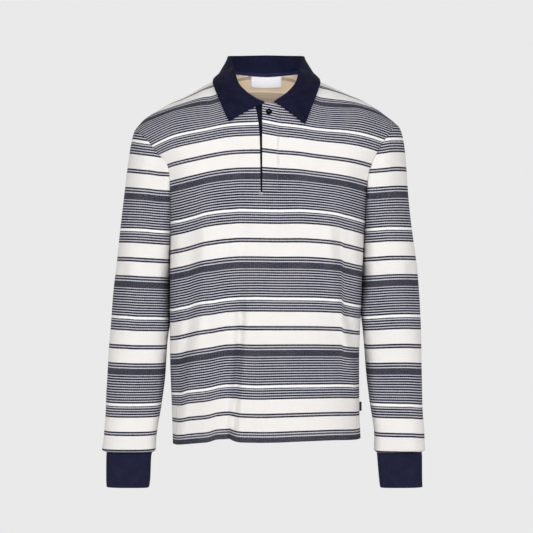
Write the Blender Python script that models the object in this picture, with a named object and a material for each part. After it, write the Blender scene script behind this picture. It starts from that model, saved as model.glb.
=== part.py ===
"""A long-sleeved striped knit polo shirt in its worn, hollow form.

Every piece of cloth is a thin closed wall. Metres, +Z up. The origin is the
middle of the neck base, where the wearer's shoulders carry the shirt. The
front faces -Y, and +X is the wearer's left. "right" and "left" are the
wearer's: the right side is at -X.
"""
import math

import bmesh
import bpy
import numpy as np
from mathutils import Matrix

MM = 0.001

# ---------------------------------------------------------------- cloth
SEAM_GAP = 0.3 * MM
BODY_WALL = 1.5 * MM
COLLAR_WALL = 2.0 * MM
CUFF_WALL = 2.2 * MM
TAPE_WALL = 0.8 * MM
FULL_AGREEMENT = 0.5          # walls whose faces agree this well share a direction at a seam
LABEL_WALL = 0.6 * MM

# ---------------------------------------------------------------- body
UNDERARM_Z = -322 * MM
SIDE_ROUNDNESS = dict(front=2.6, back=2.2)   # exponents of the body's sections, 2 is an ellipse
TOP_ROUNDNESS = 2.2           # exponent of the shoulders' arch
SHOULDER_ARCH = 128 * MM      # height over which the shoulders round off
HALF_NECK = 83 * MM           # neck seam, half its width
FRONT_NECK_DROP = 59 * MM     # neck seam, from the shoulder to the front
BACK_NECK_RISE = 5 * MM
NECK_ROUNDNESS = 1.2          # how square the neck seam's curve is
HEM_MIDDLE = -672 * MM        # where the lowest sections are read

# Sections of the body: half widths on each side, depths to front and back.
# Above the underarm the widths only shape the panels, which the armholes cut.
BODY_SECTIONS = [
    dict(z=10, right=292, left=292, front=84, back=93, back_extra=0),
    dict(z=-60, right=286, left=286, front=98, back=104, back_extra=0),
    dict(z=-100, right=268, left=270, front=107, back=110, back_extra=10),
    dict(z=-160, right=212, left=220, front=116, back=114, back_extra=34),
    dict(z=-225, right=191, left=195, front=121, back=115, back_extra=22),
    dict(z=-290, right=180.6, left=183.6, front=123, back=113, back_extra=6),
    dict(z=-322, right=178, left=181, front=123, back=111, back_extra=0),
    dict(z=-440, right=178.4, left=175.8, front=121, back=104, back_extra=0),
    dict(z=-520, right=177.8, left=172.8, front=118, back=100, back_extra=0),
    dict(z=-613, right=174.6, left=173.2, front=115, back=99, back_extra=0),
    dict(z=-690, right=172.6, left=176.8, front=113, back=101, back_extra=0),
]

# The shoulder ridge, out from the middle. Inside the neck it is only a guide.
SHOULDER_RIDGE = [
    dict(out=0, right=40, left=40),
    dict(out=40, right=29, left=29),
    dict(out=83, right=2, left=2),
    dict(out=98, right=-7, left=-6.5),
    dict(out=115, right=-15.5, left=-14),
    dict(out=132, right=-26, left=-22),
    dict(out=154, right=-37.8, left=-32),
    dict(out=183, right=-50.8, left=-44.8),
    dict(out=205, right=-63.8, left=-58),
    dict(out=224, right=-76, left=-72),
    dict(out=237, right=-89.5, left=-82),
    dict(out=244, right=-98.2, left=-88.5),
]
SHOULDER_TIP = dict(right=244 * MM, left=242 * MM)

# How far the armhole seams stand in from the shoulder tips, from the tip
# (down=0) to the underarm (down=1).
ARMHOLE = [
    dict(down=0, front_right=0, front_left=0, back_right=0, back_left=0),
    dict(down=0.04, front_right=12, front_left=8, back_right=5, back_left=5),
    dict(down=0.09, front_right=26, front_left=17, back_right=12, back_left=12),
    dict(down=0.15, front_right=36, front_left=27, back_right=20, back_left=20),
    dict(down=0.20, front_right=45, front_left=34, back_right=27, back_left=26),
    dict(down=0.30, front_right=64, front_left=47, back_right=38, back_left=36),
    dict(down=0.36, front_right=67.5, front_left=52, back_right=44, back_left=42),
    dict(down=0.45, front_right=69, front_left=56.5, back_right=51, back_left=48),
    dict(down=0.60, front_right=69.6, front_left=58, back_right=58, back_left=54),
    dict(down=0.80, front_right=69, front_left=60, back_right=63, back_left=58),
    dict(down=1, front_right=66, front_left=61, back_right=66, back_left=61),
]

# The hem's height along the front and the back.
HEM = [
    dict(x=-174, front=-678, back=-679),
    dict(x=-127, front=-671, back=-673),
    dict(x=-105, front=-668, back=-670),
    dict(x=-87, front=-662.5, back=-668),
    dict(x=-70, front=-661.4, back=-666.5),
    dict(x=-58, front=-665.6, back=-665.5),
    dict(x=-40, front=-667, back=-665),
    dict(x=0, front=-668, back=-664),
    dict(x=61, front=-666, back=-664),
    dict(x=115, front=-665, back=-665),
    dict(x=176, front=-668, back=-668),
]

# The largest folds: a soft ridge (height above 0) or trough along a line
# that runs down and across a panel. It fades in from its top and out past its
# bottom, and flattens towards the side and shoulder seams.
FOLD_FADE = 0.25              # of its length
FOLD_OVERRUN = 1.15
FOLD_FLAT_SIDE = 0.35
FOLD_FLAT_TOP = 0.6
FOLDS = [
    dict(face="front", top=-250, x_top=-116, bottom=-690, x_bottom=-163, width=17, height=7),
    dict(face="front", top=-260, x_top=-139, bottom=-690, x_bottom=-178, width=15, height=-5),
    dict(face="front", top=-400, x_top=-44, bottom=-700, x_bottom=-68, width=15, height=5),
    dict(face="front", top=-420, x_top=-66, bottom=-700, x_bottom=-92, width=17, height=-4),
    dict(face="front", top=-270, x_top=124, bottom=-600, x_bottom=166, width=15, height=6),
    dict(face="front", top=-290, x_top=148, bottom=-600, x_bottom=180, width=14, height=-4),
    dict(face="front", top=-110, x_top=-160, bottom=-330, x_bottom=-112, width=24, height=4),
    dict(face="front", top=-110, x_top=168, bottom=-330, x_bottom=118, width=24, height=4),
    dict(face="back", top=-230, x_top=122, bottom=-690, x_bottom=150, width=17, height=7),
    dict(face="back", top=-260, x_top=-118, bottom=-690, x_bottom=-150, width=18, height=6),
    dict(face="back", top=-360, x_top=34, bottom=-700, x_bottom=62, width=18, height=5),
    dict(face="back", top=-380, x_top=-30, bottom=-700, x_bottom=-52, width=20, height=-4),
    dict(face="back", top=-120, x_top=-170, bottom=-330, x_bottom=-110, width=26, height=5),
    dict(face="back", top=-120, x_top=170, bottom=-330, x_bottom=108, width=26, height=5),
]

NECK_COLUMNS = 6              # along half the neck seam of each panel
SHOULDER_COLUMNS = 8          # along each shoulder seam
SLIT_COLUMNS = 3
ROWS_BELOW = 16               # hem to underarm
ROWS_ABOVE = 14               # underarm to shoulder
TOP_CROWDING = 1.5            # rows draw together towards the shoulder seam
SIDE_CROWDING = 2.5           # how far a section's samples draw together at its side
CURVE_SAMPLES = 241           # along a curve whose length is shared out

# ---------------------------------------------------------------- placket
SLIT_BOTTOM = -220 * MM       # the slit starts at the first row above it
SLIT_RIGHT = [
    dict(z=-60, x=-19.5),
    dict(z=-84, x=-14.6),
    dict(z=-115, x=-11.4),
    dict(z=-163, x=-10.3),
    dict(z=-214, x=-9.4),
]
PLACKET_SEAM_X = 23 * MM      # where the top placket is sewn to the front
PLACKET_EDGE_X = -6.8 * MM    # its free edge
PLACKET_SHOULDER = 3 * MM     # how far its top slopes down under the collar
PLACKET_WALL = 2.0 * MM
PLACKET_PROUD = 0.8 * MM      # how far the top placket stands out of the front
UNDER_PLACKET_LAP = 9 * MM    # how far the under placket reaches behind the front
UNDER_PLACKET_INSET = 6 * MM  # how far its other edge stands in from the seam

# ---------------------------------------------------------------- button
BUTTON_X = 5.5 * MM
BUTTON_Z = -71.3 * MM
BUTTON_RADIUS = 5.8 * MM
BUTTON_THICKNESS = 2.4 * MM
BUTTON_RIM = 1.1 * MM
BUTTON_DISH = 0.6 * MM
BUTTON_HOLE_RADIUS = 0.75 * MM
BUTTON_HOLE_OUT = 1.7 * MM    # from its middle to each of its four holes

# ---------------------------------------------------------------- collar
# Stations from the collar's front end (along=0) past the shoulder (0.5) to the
# middle of the back (1): the fold at its top and the edge of its leaf.
COLLAR_STATIONS = [
    dict(along=0.00, fold_right=7.5, fold_left=8.5, fold_y=-96.5, fold_z=-50.5,
         edge_right=72.2, edge_left=65, edge_y=-106, edge_z=-89),
    dict(along=0.10, fold_right=16.5, fold_left=20.5, fold_y=-93, fold_z=-45.5,
         edge_right=74.5, edge_left=76, edge_y=-100, edge_z=-75),
    dict(along=0.20, fold_right=35.5, fold_left=39, fold_y=-77, fold_z=-32,
         edge_right=80.5, edge_left=82.5, edge_y=-92, edge_z=-60),
    dict(along=0.30, fold_right=50.5, fold_left=53, fold_y=-54, fold_z=-14.5,
         edge_right=88.5, edge_left=90.5, edge_y=-77, edge_z=-41),
    dict(along=0.40, fold_right=55.5, fold_left=58, fold_y=-28, fold_z=2,
         edge_right=96.5, edge_left=98, edge_y=-58, edge_z=-20),
    dict(along=0.45, fold_right=59, fold_left=60, fold_y=-15, fold_z=11,
         edge_right=99, edge_left=100, edge_y=-42, edge_z=-11.5),
    dict(along=0.50, fold_right=62, fold_left=62, fold_y=0, fold_z=20,
         edge_right=98.5, edge_left=99, edge_y=-12, edge_z=-2.5),
    dict(along=0.66, fold_right=68.5, fold_left=68, fold_y=30, fold_z=38,
         edge_right=95, edge_left=95, edge_y=42, edge_z=-6),
    dict(along=0.76, fold_right=71, fold_left=70, fold_y=46, fold_z=46,
         edge_right=80, edge_left=80, edge_y=72, edge_z=-8),
    dict(along=0.88, fold_right=42, fold_left=42, fold_y=66, fold_z=49,
         edge_right=46, edge_left=46, edge_y=90, edge_z=-4),
    dict(along=1.00, fold_right=0, fold_left=0, fold_y=72, fold_z=50.5,
         edge_right=0, edge_left=0, edge_y=97, edge_z=-2),
]
COLLAR_FRONT_X = 5.4 * MM     # the middle of the collar's front opening
COLLAR_BACK_X = 1.5 * MM      # the middle of the collar elsewhere
COLLAR_END = 0.2              # how far along its front end reaches
COLLAR_TIP_DROP = dict(right=0, left=5.5 * MM)
COLLAR_TIP_REACH = 0.3
FOLD_RADIUS = 3.2 * MM
FOLD_RADIUS_END = 2.4 * MM    # at the collar's front ends
LEAF_BULGE = 3.0 * MM
LEAF_CLEARANCE = 3.6 * MM     # from the body to the leaf's outer face
LIFT_SEARCH_Z = -160 * MM     # well below the leaf
LEAF_BY_STAND = 1.3           # the share of the stand's depth over which the leaf clears it
STAND_ROWS = 3
FOLD_ROWS = 4
LEAF_ROWS = 5
TAPE_HEIGHT = 8 * MM

# ---------------------------------------------------------------- label, tab
LABEL_HALF_WIDTH = 28.5 * MM
LABEL_HEIGHT = 20 * MM
LABEL_OFFSET = 1.0 * MM       # in from the neck seam
LABEL_HANG = 2.5 * MM         # how far its foot falls back towards the panel
LABEL_COLUMNS = 6
LABEL_ROWS = 3
TAB_TOP_Z = -602 * MM
TAB_HEIGHT = 17 * MM
TAB_REACH = 4.6 * MM
TAB_WALL = 1.2 * MM

# ---------------------------------------------------------------- sleeves
# Sections of the sleeves from the upper arm to the cuff seam.
SLEEVE_SECTIONS = dict(
    right=[
        dict(z=-350, inner=-179.4, outer=-278.5, front=-56, middle=15, back=78),
        dict(z=-385, inner=-178.4, outer=-284, front=-53, middle=25, back=72),
        dict(z=-418, inner=-178.4, outer=-287, front=-50, middle=25, back=66),
        dict(z=-455, inner=-179.2, outer=-289.3, front=-46, middle=22, back=60),
        dict(z=-475, inner=-182.0, outer=-290.6, front=-45, middle=16, back=55),
        dict(z=-499, inner=-184.5, outer=-292.6, front=-44, middle=13, back=52),
        dict(z=-554, inner=-187.8, outer=-295.3, front=-43, middle=8, back=46),
        dict(z=-613, inner=-195.4, outer=-297.6, front=-42, middle=3, back=40),
        dict(z=-667, inner=-204.0, outer=-301.2, front=-41, middle=-2, back=35),
        dict(z=-686, inner=-204.8, outer=-304.0, front=-41, middle=-3, back=34),
        dict(z=-690.5, inner=-205.2, outer=-304.6, front=-40, middle=-3, back=33),
        dict(z=-693.2, inner=-208.0, outer=-300.8, front=-34, middle=-3, back=27),
        dict(z=-694.4, inner=-211.5, outer=-296.0, front=-27, middle=-3, back=20),
    ],
    left=[
        dict(z=-350, inner=181.2, outer=281.5, front=-56, middle=15, back=78),
        dict(z=-385, inner=178.4, outer=285.2, front=-53, middle=25, back=72),
        dict(z=-432, inner=176.6, outer=288.2, front=-48, middle=25, back=64),
        dict(z=-455, inner=179.4, outer=288.8, front=-46, middle=20, back=60),
        dict(z=-495, inner=182.8, outer=289.4, front=-44, middle=13, back=52),
        dict(z=-545, inner=186.4, outer=290, front=-43, middle=8, back=46),
        dict(z=-603, inner=193.4, outer=290.8, front=-42, middle=3, back=40),
        dict(z=-667, inner=201.4, outer=294, front=-41, middle=-2, back=35),
        dict(z=-686, inner=200.6, outer=295.2, front=-41, middle=-3, back=34),
        dict(z=-690.5, inner=200.7, outer=295.8, front=-40, middle=-3, back=33),
        dict(z=-693.2, inner=203.2, outer=292.4, front=-34, middle=-3, back=27),
        dict(z=-694.4, inner=205.7, outer=289.5, front=-27, middle=-3, back=20),
    ],
)
CUFF_SECTIONS = dict(
    right=[
        dict(z=-694.8, inner=-211.5, outer=-296.0, front=-27, middle=-3, back=20),
        dict(z=-704, inner=-213.2, outer=-296.8, front=-25, middle=-3, back=18),
        dict(z=-745, inner=-215.0, outer=-297.0, front=-24, middle=-3, back=17),
        dict(z=-760, inner=-217.0, outer=-296.2, front=-23.5, middle=-3, back=16.5),
    ],
    left=[
        dict(z=-694.8, inner=205.7, outer=289.5, front=-27, middle=-3, back=20),
        dict(z=-704, inner=206.5, outer=290.0, front=-25, middle=-3, back=18),
        dict(z=-745, inner=210.0, outer=290.2, front=-24, middle=-3, back=17),
        dict(z=-760, inner=211.8, outer=290.8, front=-23.5, middle=-3, back=16.5),
    ],
)
SLEEVE_ROUNDNESS = 2.3
SLEEVE_CLEARANCE = 1.0 * MM   # between a sleeve and the body's side
SIDE_DEPTH = 60 * MM          # how far to front and back the sleeve lies against it
INNER_SPREAD = 10             # degrees, how much columns spread at the inner side
CAP_ROWS = 6                  # armhole to upper arm
SLEEVE_ROWS = 10              # upper arm to the turned end
CUFF_ROWS = 2
# How far the sleeve heads round out: just below the seam, and over their length.
CAP_BULGE = dict(right=dict(early=4.5, whole=3), left=dict(early=15, whole=0.5))
CAP_CROWDING = 1.4            # rows draw together towards the armhole
SLEEVE_TURN_Z = -678          # above it the sleeve hangs, below it the end turns under

# The largest folds of the sleeves, at a place around the arm (turn: 0 outer,
# 90 front, 180 inner, 270 back, in degrees).
SLEEVE_FOLDS = [
    dict(side="left", z=-440, turn=140, tall=34, spread=20, height=4),
    dict(side="right", z=-455, turn=65, tall=30, spread=34, height=3),
    dict(side="right", z=-500, turn=125, tall=26, spread=30, height=-3),
    dict(side="right", z=-590, turn=70, tall=26, spread=50, height=3),
    dict(side="left", z=-480, turn=60, tall=30, spread=34, height=3),
    dict(side="left", z=-600, turn=110, tall=26, spread=50, height=3),
    dict(side="right", z=-655, turn=100, tall=18, spread=60, height=3),
    dict(side="left", z=-655, turn=80, tall=18, spread=60, height=3),
    dict(side="right", z=-500, turn=270, tall=30, spread=40, height=-3),
    dict(side="left", z=-500, turn=270, tall=30, spread=40, height=-3),
]

# ---------------------------------------------------------------- colours
COLOURS = {
    "stripe": (0.36, 0.36, 0.40, 1.0),
    "navy": (0.012, 0.013, 0.035, 1.0),
    "rib": (0.018, 0.018, 0.042, 1.0),
    "label": (0.85, 0.85, 0.86, 1.0),
    "button": (0.010, 0.010, 0.022, 1.0),
    "tab": (0.012, 0.012, 0.014, 1.0),
}


# ---------------------------------------------------------------- curves
def read_table(table, key, column, at):
    """A smooth curve through one column of a table, read at a key's value."""
    rows = sorted(table, key=lambda row: row[key])
    keys = [row[key] for row in rows]
    values = [row[column] for row in rows]
    at = min(max(at, keys[0]), keys[-1])
    index = min(max(np.searchsorted(keys, at) - 1, 0), len(keys) - 2)
    span = keys[index + 1] - keys[index]
    slopes = []
    for end in (index, index + 1):
        before, after = max(end - 1, 0), min(end + 1, len(keys) - 1)
        rise_before = (values[end] - values[before]) / ((keys[end] - keys[before]) or 1)
        rise_after = (values[after] - values[end]) / ((keys[after] - keys[end]) or 1)
        if before == end:
            slopes.append(rise_after)
        elif after == end:
            slopes.append(rise_before)
        elif rise_before * rise_after <= 0:
            slopes.append(0.0)
        else:
            slopes.append(2 * rise_before * rise_after / (rise_before + rise_after))
    t = (at - keys[index]) / span
    return (values[index] * (1 + 2 * t) * (1 - t) ** 2
            + values[index + 1] * t * t * (3 - 2 * t)
            + span * (slopes[0] * t * (1 - t) ** 2 - slopes[1] * t * t * (1 - t)))


def read_mm(table, key, column, at):
    """The same for a table whose key and column are both in millimetres."""
    return read_table(table, key, column, at / MM) * MM


def mix(a, b, t):
    return a + (b - a) * t


def clamp(value):
    return min(max(value, 0.0), 1.0)


def unit(vectors):
    """One vector, or an array of them, at length 1."""
    return vectors / np.maximum(np.linalg.norm(vectors, axis=-1, keepdims=True), 1e-12)


def steps_along(curve, shares):
    """Points at shares of the length along a curve of one parameter, 0 to 1."""
    fine = np.linspace(0, 1, CURVE_SAMPLES)
    points = np.array([curve(t) for t in fine])
    lengths = np.concatenate([[0], np.cumsum(np.linalg.norm(np.diff(points, axis=0), axis=1))])
    return [curve(t) for t in np.interp(np.array(shares) * lengths[-1], lengths, fine)]


def even_steps(curve, count):
    return steps_along(curve, np.linspace(0, 1, count + 1))


# ---------------------------------------------------------------- body form
def side_name(x):
    return "left" if x >= 0 else "right"


def ridge_z(x):
    """Height of the shoulder ridge."""
    return read_mm(SHOULDER_RIDGE, "out", side_name(x), abs(x))


def half_width(face, side, z):
    width = read_mm(BODY_SECTIONS, "z", side, z)
    if face == "back":
        width += read_mm(BODY_SECTIONS, "z", "back_extra", z)
    return width


def fold_height(face, x, z):
    """How far the folds lift the cloth at a place on a panel."""
    total = 0.0
    for fold in FOLDS:
        if fold["face"] != face:
            continue
        run = (fold["top"] * MM - z) / ((fold["top"] - fold["bottom"]) * MM)
        centre = mix(fold["x_top"], fold["x_bottom"], run) * MM
        fade = clamp(run / FOLD_FADE) * clamp((FOLD_OVERRUN - run) / FOLD_FADE)
        total += fold["height"] * MM * fade * math.exp(-((x - centre) / (fold["width"] * MM)) ** 2)
    return total


def body_y(face, x, z):
    """The panel's outer surface: its depth at a place seen from the front."""
    width = half_width(face, side_name(x), z)
    depth = read_mm(BODY_SECTIONS, "z", face, z)
    power = SIDE_ROUNDNESS[face]
    across = max(1 - (abs(x) / width) ** power, 0) ** (1 / power)
    below = clamp((ridge_z(x) - z) / SHOULDER_ARCH)
    arch = max(1 - (1 - below) ** TOP_ROUNDNESS, 0) ** (1 / TOP_ROUNDNESS)
    edge = clamp(across / FOLD_FLAT_SIDE) * clamp(arch / FOLD_FLAT_TOP)
    y = depth * across * arch + fold_height(face, x, z) * edge
    y = max(y, SEAM_GAP / 2)
    return -y if face == "front" else y


def shoulder_tip(side):
    x = SHOULDER_TIP[side] * (1 if side == "left" else -1)
    return x, ridge_z(x)


def armhole_xz(face, side, down):
    """The armhole seam seen from the front, from the tip to the underarm."""
    tip_x, tip_z = shoulder_tip(side)
    inset = read_table(ARMHOLE, "down", face + "_" + side, down) * MM
    z = mix(tip_z, UNDERARM_Z, down)
    out = SHOULDER_TIP[side] - inset
    if down == 1:
        out = half_width(face, side, UNDERARM_Z)
    return out * (1 if side == "left" else -1), z


def neck_xz(face, side, inner_x, t):
    """The neck seam of a panel, from the panel's inner line to the shoulder."""
    sign = 1 if side == "left" else -1
    start = math.asin(min(abs(inner_x) / HALF_NECK, 1))
    turn = mix(start, math.pi / 2, t)
    drop = math.cos(turn) ** NECK_ROUNDNESS
    x = sign * HALF_NECK * math.sin(turn)
    top = ridge_z(sign * HALF_NECK)
    z = top - FRONT_NECK_DROP * drop if face == "front" else top + BACK_NECK_RISE * drop
    return x, z


def section_steps(face, side, inner_x, z, count):
    """Places at even steps around a level section, from inner line to side."""
    outer = half_width(face, side, z) * (1 if side == "left" else -1)

    def along(t):
        x = mix(inner_x, outer, 1 - (1 - t) ** SIDE_CROWDING)
        return x, body_y(face, x, z)
    return [x for x, _ in even_steps(along, count)]


def half_panel(face, side, inner_line):
    """Half a body panel as rows of points, hem to top, inner line to side."""
    count = NECK_COLUMNS + SHOULDER_COLUMNS
    rows = []
    for row in range(ROWS_BELOW):
        rise = row / ROWS_BELOW
        level = mix(HEM_MIDDLE, UNDERARM_Z, rise)
        points = []
        for x in section_steps(face, side, inner_line(level), level, count):
            hem = read_mm(HEM, "x", face, x)
            points.append((x, mix(hem, UNDERARM_Z, rise)))
        rows.append(points)

    bottom = [(x, UNDERARM_Z) for x in
              section_steps(face, side, inner_line(UNDERARM_Z), UNDERARM_Z, count)]
    top_inner = inner_line(0)

    def on_panel(x, z):
        return x, body_y(face, x, z), z

    def neck(t):
        return on_panel(*neck_xz(face, side, top_inner, t))

    def shoulder(t):
        tip_x, _ = shoulder_tip(side)
        x = mix(neck_xz(face, side, top_inner, 1)[0], tip_x, t)
        return on_panel(x, ridge_z(x))

    def armhole(t):
        return on_panel(*armhole_xz(face, side, 1 - t))

    top = even_steps(neck, NECK_COLUMNS)[:-1] + even_steps(shoulder, SHOULDER_COLUMNS)
    top = [(x, z) for x, _, z in top]
    steps = [1 - (1 - row / ROWS_ABOVE) ** TOP_CROWDING for row in range(ROWS_ABOVE + 1)]
    outer = [(x, z) for x, _, z in steps_along(armhole, steps)]

    for row in range(ROWS_ABOVE + 1):
        t = steps[row]
        z_inner = mix(UNDERARM_Z, top[0][1], t)
        inner = (inner_line(z_inner), z_inner)
        points = []
        for column in range(count + 1):
            u = column / count
            blended = []
            for axis in (0, 1):
                flat = mix(mix(bottom[0][axis], bottom[-1][axis], u),
                           mix(top[0][axis], top[-1][axis], u), t)
                blended.append(mix(bottom[column][axis], top[column][axis], t)
                               + mix(inner[axis], outer[row][axis], u) - flat)
            points.append(tuple(blended))
        rows.append(points)
    return rows


# ---------------------------------------------------------------- walls
def place(face, points):
    return np.array([[(x, body_y(face, x, z), z) for x, z in row] for row in points])


def grid_normals(points, closed=False, facing=1):
    """Unit normals of a grid of points, from its own neighbours."""
    if closed:
        across = np.roll(points, -1, axis=1) - np.roll(points, 1, axis=1)
    else:
        across = np.gradient(points, axis=1)
    along = np.gradient(points, axis=0)
    return unit(np.cross(across, along) * facing)


def make_wall(name, colour, outer, inner, closed=False, absent=None, facing=1):
    """A closed solid between two grids of points, with its edges walled."""
    row_count, column_count = outer.shape[:2]
    mesh = bpy.data.meshes.new(name)
    build = bmesh.new()
    made = {}

    def vertex(skin, row, column):
        key = (skin, row, column % column_count)
        if key not in made:
            made[key] = build.verts.new((outer, inner)[skin][key[1], key[2]])
        return made[key]

    def triangle(*corners):
        build.faces.new(corners if facing == 1 else corners[::-1])

    cells = set()
    for row in range(row_count - 1):
        for column in range(column_count if closed else column_count - 1):
            if absent is None or not absent(row, column):
                cells.add((row, column))
    edge_count = {}
    for row, column in cells:
        a, b = (row, column), (row, column + 1)
        c, d = (row + 1, column + 1), (row + 1, column)
        triangle(*(vertex(0, *p) for p in (a, b, c)))
        triangle(*(vertex(0, *p) for p in (a, c, d)))
        triangle(*(vertex(1, *p) for p in (c, b, a)))
        triangle(*(vertex(1, *p) for p in (d, c, a)))
        for start, end in ((a, b), (b, c), (c, d), (d, a)):
            key = ((start[0], start[1] % column_count), (end[0], end[1] % column_count))
            edge_count[key] = edge_count.get(key, 0) + 1
    for start, end in edge_count:
        if (end, start) not in edge_count:
            triangle(vertex(0, *start), vertex(1, *start), vertex(1, *end))
            triangle(vertex(0, *start), vertex(1, *end), vertex(0, *end))
    build.to_mesh(mesh)
    build.free()
    mesh.shade_smooth()
    mesh.set_sharp_from_angle(angle=math.radians(50))
    mesh.materials.append(make_material(name, colour))
    piece = bpy.data.objects.new(name, mesh)
    bpy.context.collection.objects.link(piece)
    return piece


def make_material(name, colour):
    material = bpy.data.materials.new(name)
    material.use_nodes = True
    shader = material.node_tree.nodes["Principled BSDF"]
    shader.inputs["Base Color"].default_value = COLOURS[colour]
    shader.inputs["Roughness"].default_value = 0.35 if colour == "button" else 0.9
    return material


# ---------------------------------------------------------------- body panels
def front_grid():
    """The front's points: right half, slit strip, left half."""
    def slit_line(z):
        return read_mm(SLIT_RIGHT, "z", "x", z)

    def seam_line(z):
        return PLACKET_SEAM_X
    right = half_panel("front", "right", slit_line)
    left = half_panel("front", "left", seam_line)
    rows = []
    for right_row, left_row in zip(right, left):
        strip = []
        for step in range(1, SLIT_COLUMNS):
            t = step / SLIT_COLUMNS
            strip.append(tuple(mix(right_row[0][axis], left_row[0][axis], t) for axis in (0, 1)))
        rows.append(right_row[::-1] + strip + left_row)
    return rows


def back_grid():
    def middle_line(z):
        return 0.0
    left = half_panel("back", "left", middle_line)
    right = half_panel("back", "right", middle_line)
    return [left_row[::-1] + right_row[1:] for left_row, right_row in zip(left, right)]


def blend_edges(first, first_index, second, second_index):
    """Give two walls that meet at a seam one shared direction there."""
    shared = unit(first[first_index] + second[second_index])
    first[first_index] = shared
    second[second_index] = shared


def seat_on_seam(grid, normals, seam, seam_out, closed, keep_side=1):
    """Start a wall's first row just off a seam, with a shared direction there.

    seam holds the other pieces' edge points and seam_out their directions.
    keep_side is -1 where the wall's own face is the other pieces' hidden one.
    Where the two fold sharply back on each other, each keeps its own direction.
    Returns the other pieces' new directions.
    """
    own = normals[0] * keep_side
    agreement = np.sum(seam_out * own, axis=1, keepdims=True)
    share = np.clip(agreement / FULL_AGREEMENT, 0, 1) if closed else np.ones_like(agreement)
    shared = unit(seam_out + own * share)
    if closed:
        tangent = np.roll(seam, -1, axis=0) - np.roll(seam, 1, axis=0)
    else:
        tangent = np.gradient(seam, axis=0)
    away = unit(np.cross(tangent, shared))
    if np.sum(away * (grid[1] - grid[0])) < 0:
        away = -away
    away = unit(away * share + seam_out * (1 - share))
    start = seam if keep_side == 1 else seam - shared * BODY_WALL
    grid[0] = start + away * SEAM_GAP
    normals[0] = unit(own * (1 - share) + shared * share) * keep_side
    return shared


# ---------------------------------------------------------------- sleeves
def ring_turns(count):
    """Directions around a sleeve, in degrees, wider apart at its inner side."""
    turns = []
    for step in range(count):
        share = step / count
        spread = INNER_SPREAD * math.sin(4 * math.pi * share) if 0.25 < share < 0.75 else 0
        turns.append(360 * share + spread)
    return turns


def section_ring(table, z, count):
    """A level ring of a sleeve: outer side, front, inner side, back."""
    inner = read_mm(table, "z", "inner", z)
    outer = read_mm(table, "z", "outer", z)
    front = read_mm(table, "z", "front", z)
    middle = read_mm(table, "z", "middle", z)
    back = read_mm(table, "z", "back", z)
    ring = []
    for turn in ring_turns(count):
        cosine, sine = math.cos(math.radians(turn)), math.sin(math.radians(turn))
        x = mix(inner, outer, 0.5) + (outer - inner) / 2 * math.copysign(
            abs(cosine) ** (2 / SLEEVE_ROUNDNESS), cosine)
        y = mix(middle, front if sine > 0 else back, abs(sine) ** (2 / SLEEVE_ROUNDNESS))
        ring.append((x, y, z))
    return np.array(ring)


def sleeve_fold(side, z, turn):
    total = 0.0
    for fold in SLEEVE_FOLDS:
        if fold["side"] == side:
            around = (turn - fold["turn"] + 180) % 360 - 180
            total += (fold["height"] * MM * math.exp(-((z / MM - fold["z"]) / fold["tall"]) ** 2)
                      * math.exp(-(around / fold["spread"]) ** 2))
    return total


def head_bulge(side, t):
    """How far a sleeve's head rounds out, from its seam (0) to the upper arm (1)."""
    rise, fall = 1.0, 5.0
    crest = rise / (rise + fall)
    early = (t / crest) ** rise * ((1 - t) / (1 - crest)) ** fall
    whole = 4 * t * (1 - t)
    return (CAP_BULGE[side]["early"] * early + CAP_BULGE[side]["whole"] * whole) * MM


def clear_of_side(side, point):
    """Keep a sleeve's point just outside the body's side."""
    x, y, z = point
    face = "front" if y < 0 else "back"
    level = min(z, UNDERARM_Z)
    power = SIDE_ROUNDNESS[face]
    depth = read_mm(BODY_SECTIONS, "z", face, level)
    share = max(1 - (abs(y) / depth) ** power, 0) ** (1 / power)
    reach = half_width(face, side, level) * share + SLEEVE_CLEARANCE
    if abs(x) < reach and abs(y) < SIDE_DEPTH:
        x = math.copysign(reach, x)
    return np.array((x, y, z))


def sleeve_grid(side, armhole_ring):
    """A sleeve's rows of points from the armhole down to the cuff seam."""
    table = SLEEVE_SECTIONS[side]
    count = len(armhole_ring)
    upper = section_ring(table, table[0]["z"] * MM, count)
    rows = [armhole_ring.copy()]
    turns = ring_turns(count)
    for row in range(1, CAP_ROWS):
        t = (row / CAP_ROWS) ** CAP_CROWDING
        ring = mix(armhole_ring, upper, t)
        middle = ring.mean(axis=0)
        for step, turn in enumerate(turns):
            outer_share = 0.5 + 0.5 * math.cos(math.radians(turn))
            out = unit(ring[step] - middle) * head_bulge(side, t) * outer_share
            ring[step] = clear_of_side(side, ring[step] + out)
        rows.append(ring)
    hanging = list(np.linspace(table[0]["z"], SLEEVE_TURN_Z, SLEEVE_ROWS))
    levels = hanging + [row["z"] for row in table if row["z"] < SLEEVE_TURN_Z]
    for z in levels:
        ring = section_ring(table, z * MM, count)
        middle = ring.mean(axis=0)
        for step, turn in enumerate(turns):
            out = unit(ring[step] - middle) * sleeve_fold(side, z * MM, turn)
            ring[step] = clear_of_side(side, ring[step] + out)
        rows.append(ring)
    return np.array(rows)


def cuff_grid(side, count):
    table = CUFF_SECTIONS[side]
    levels = [table[0]["z"], table[1]["z"]] + list(
        np.linspace(table[1]["z"], table[-1]["z"], CUFF_ROWS)[1:])
    return np.array([section_ring(table, z * MM, count) for z in levels])


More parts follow.
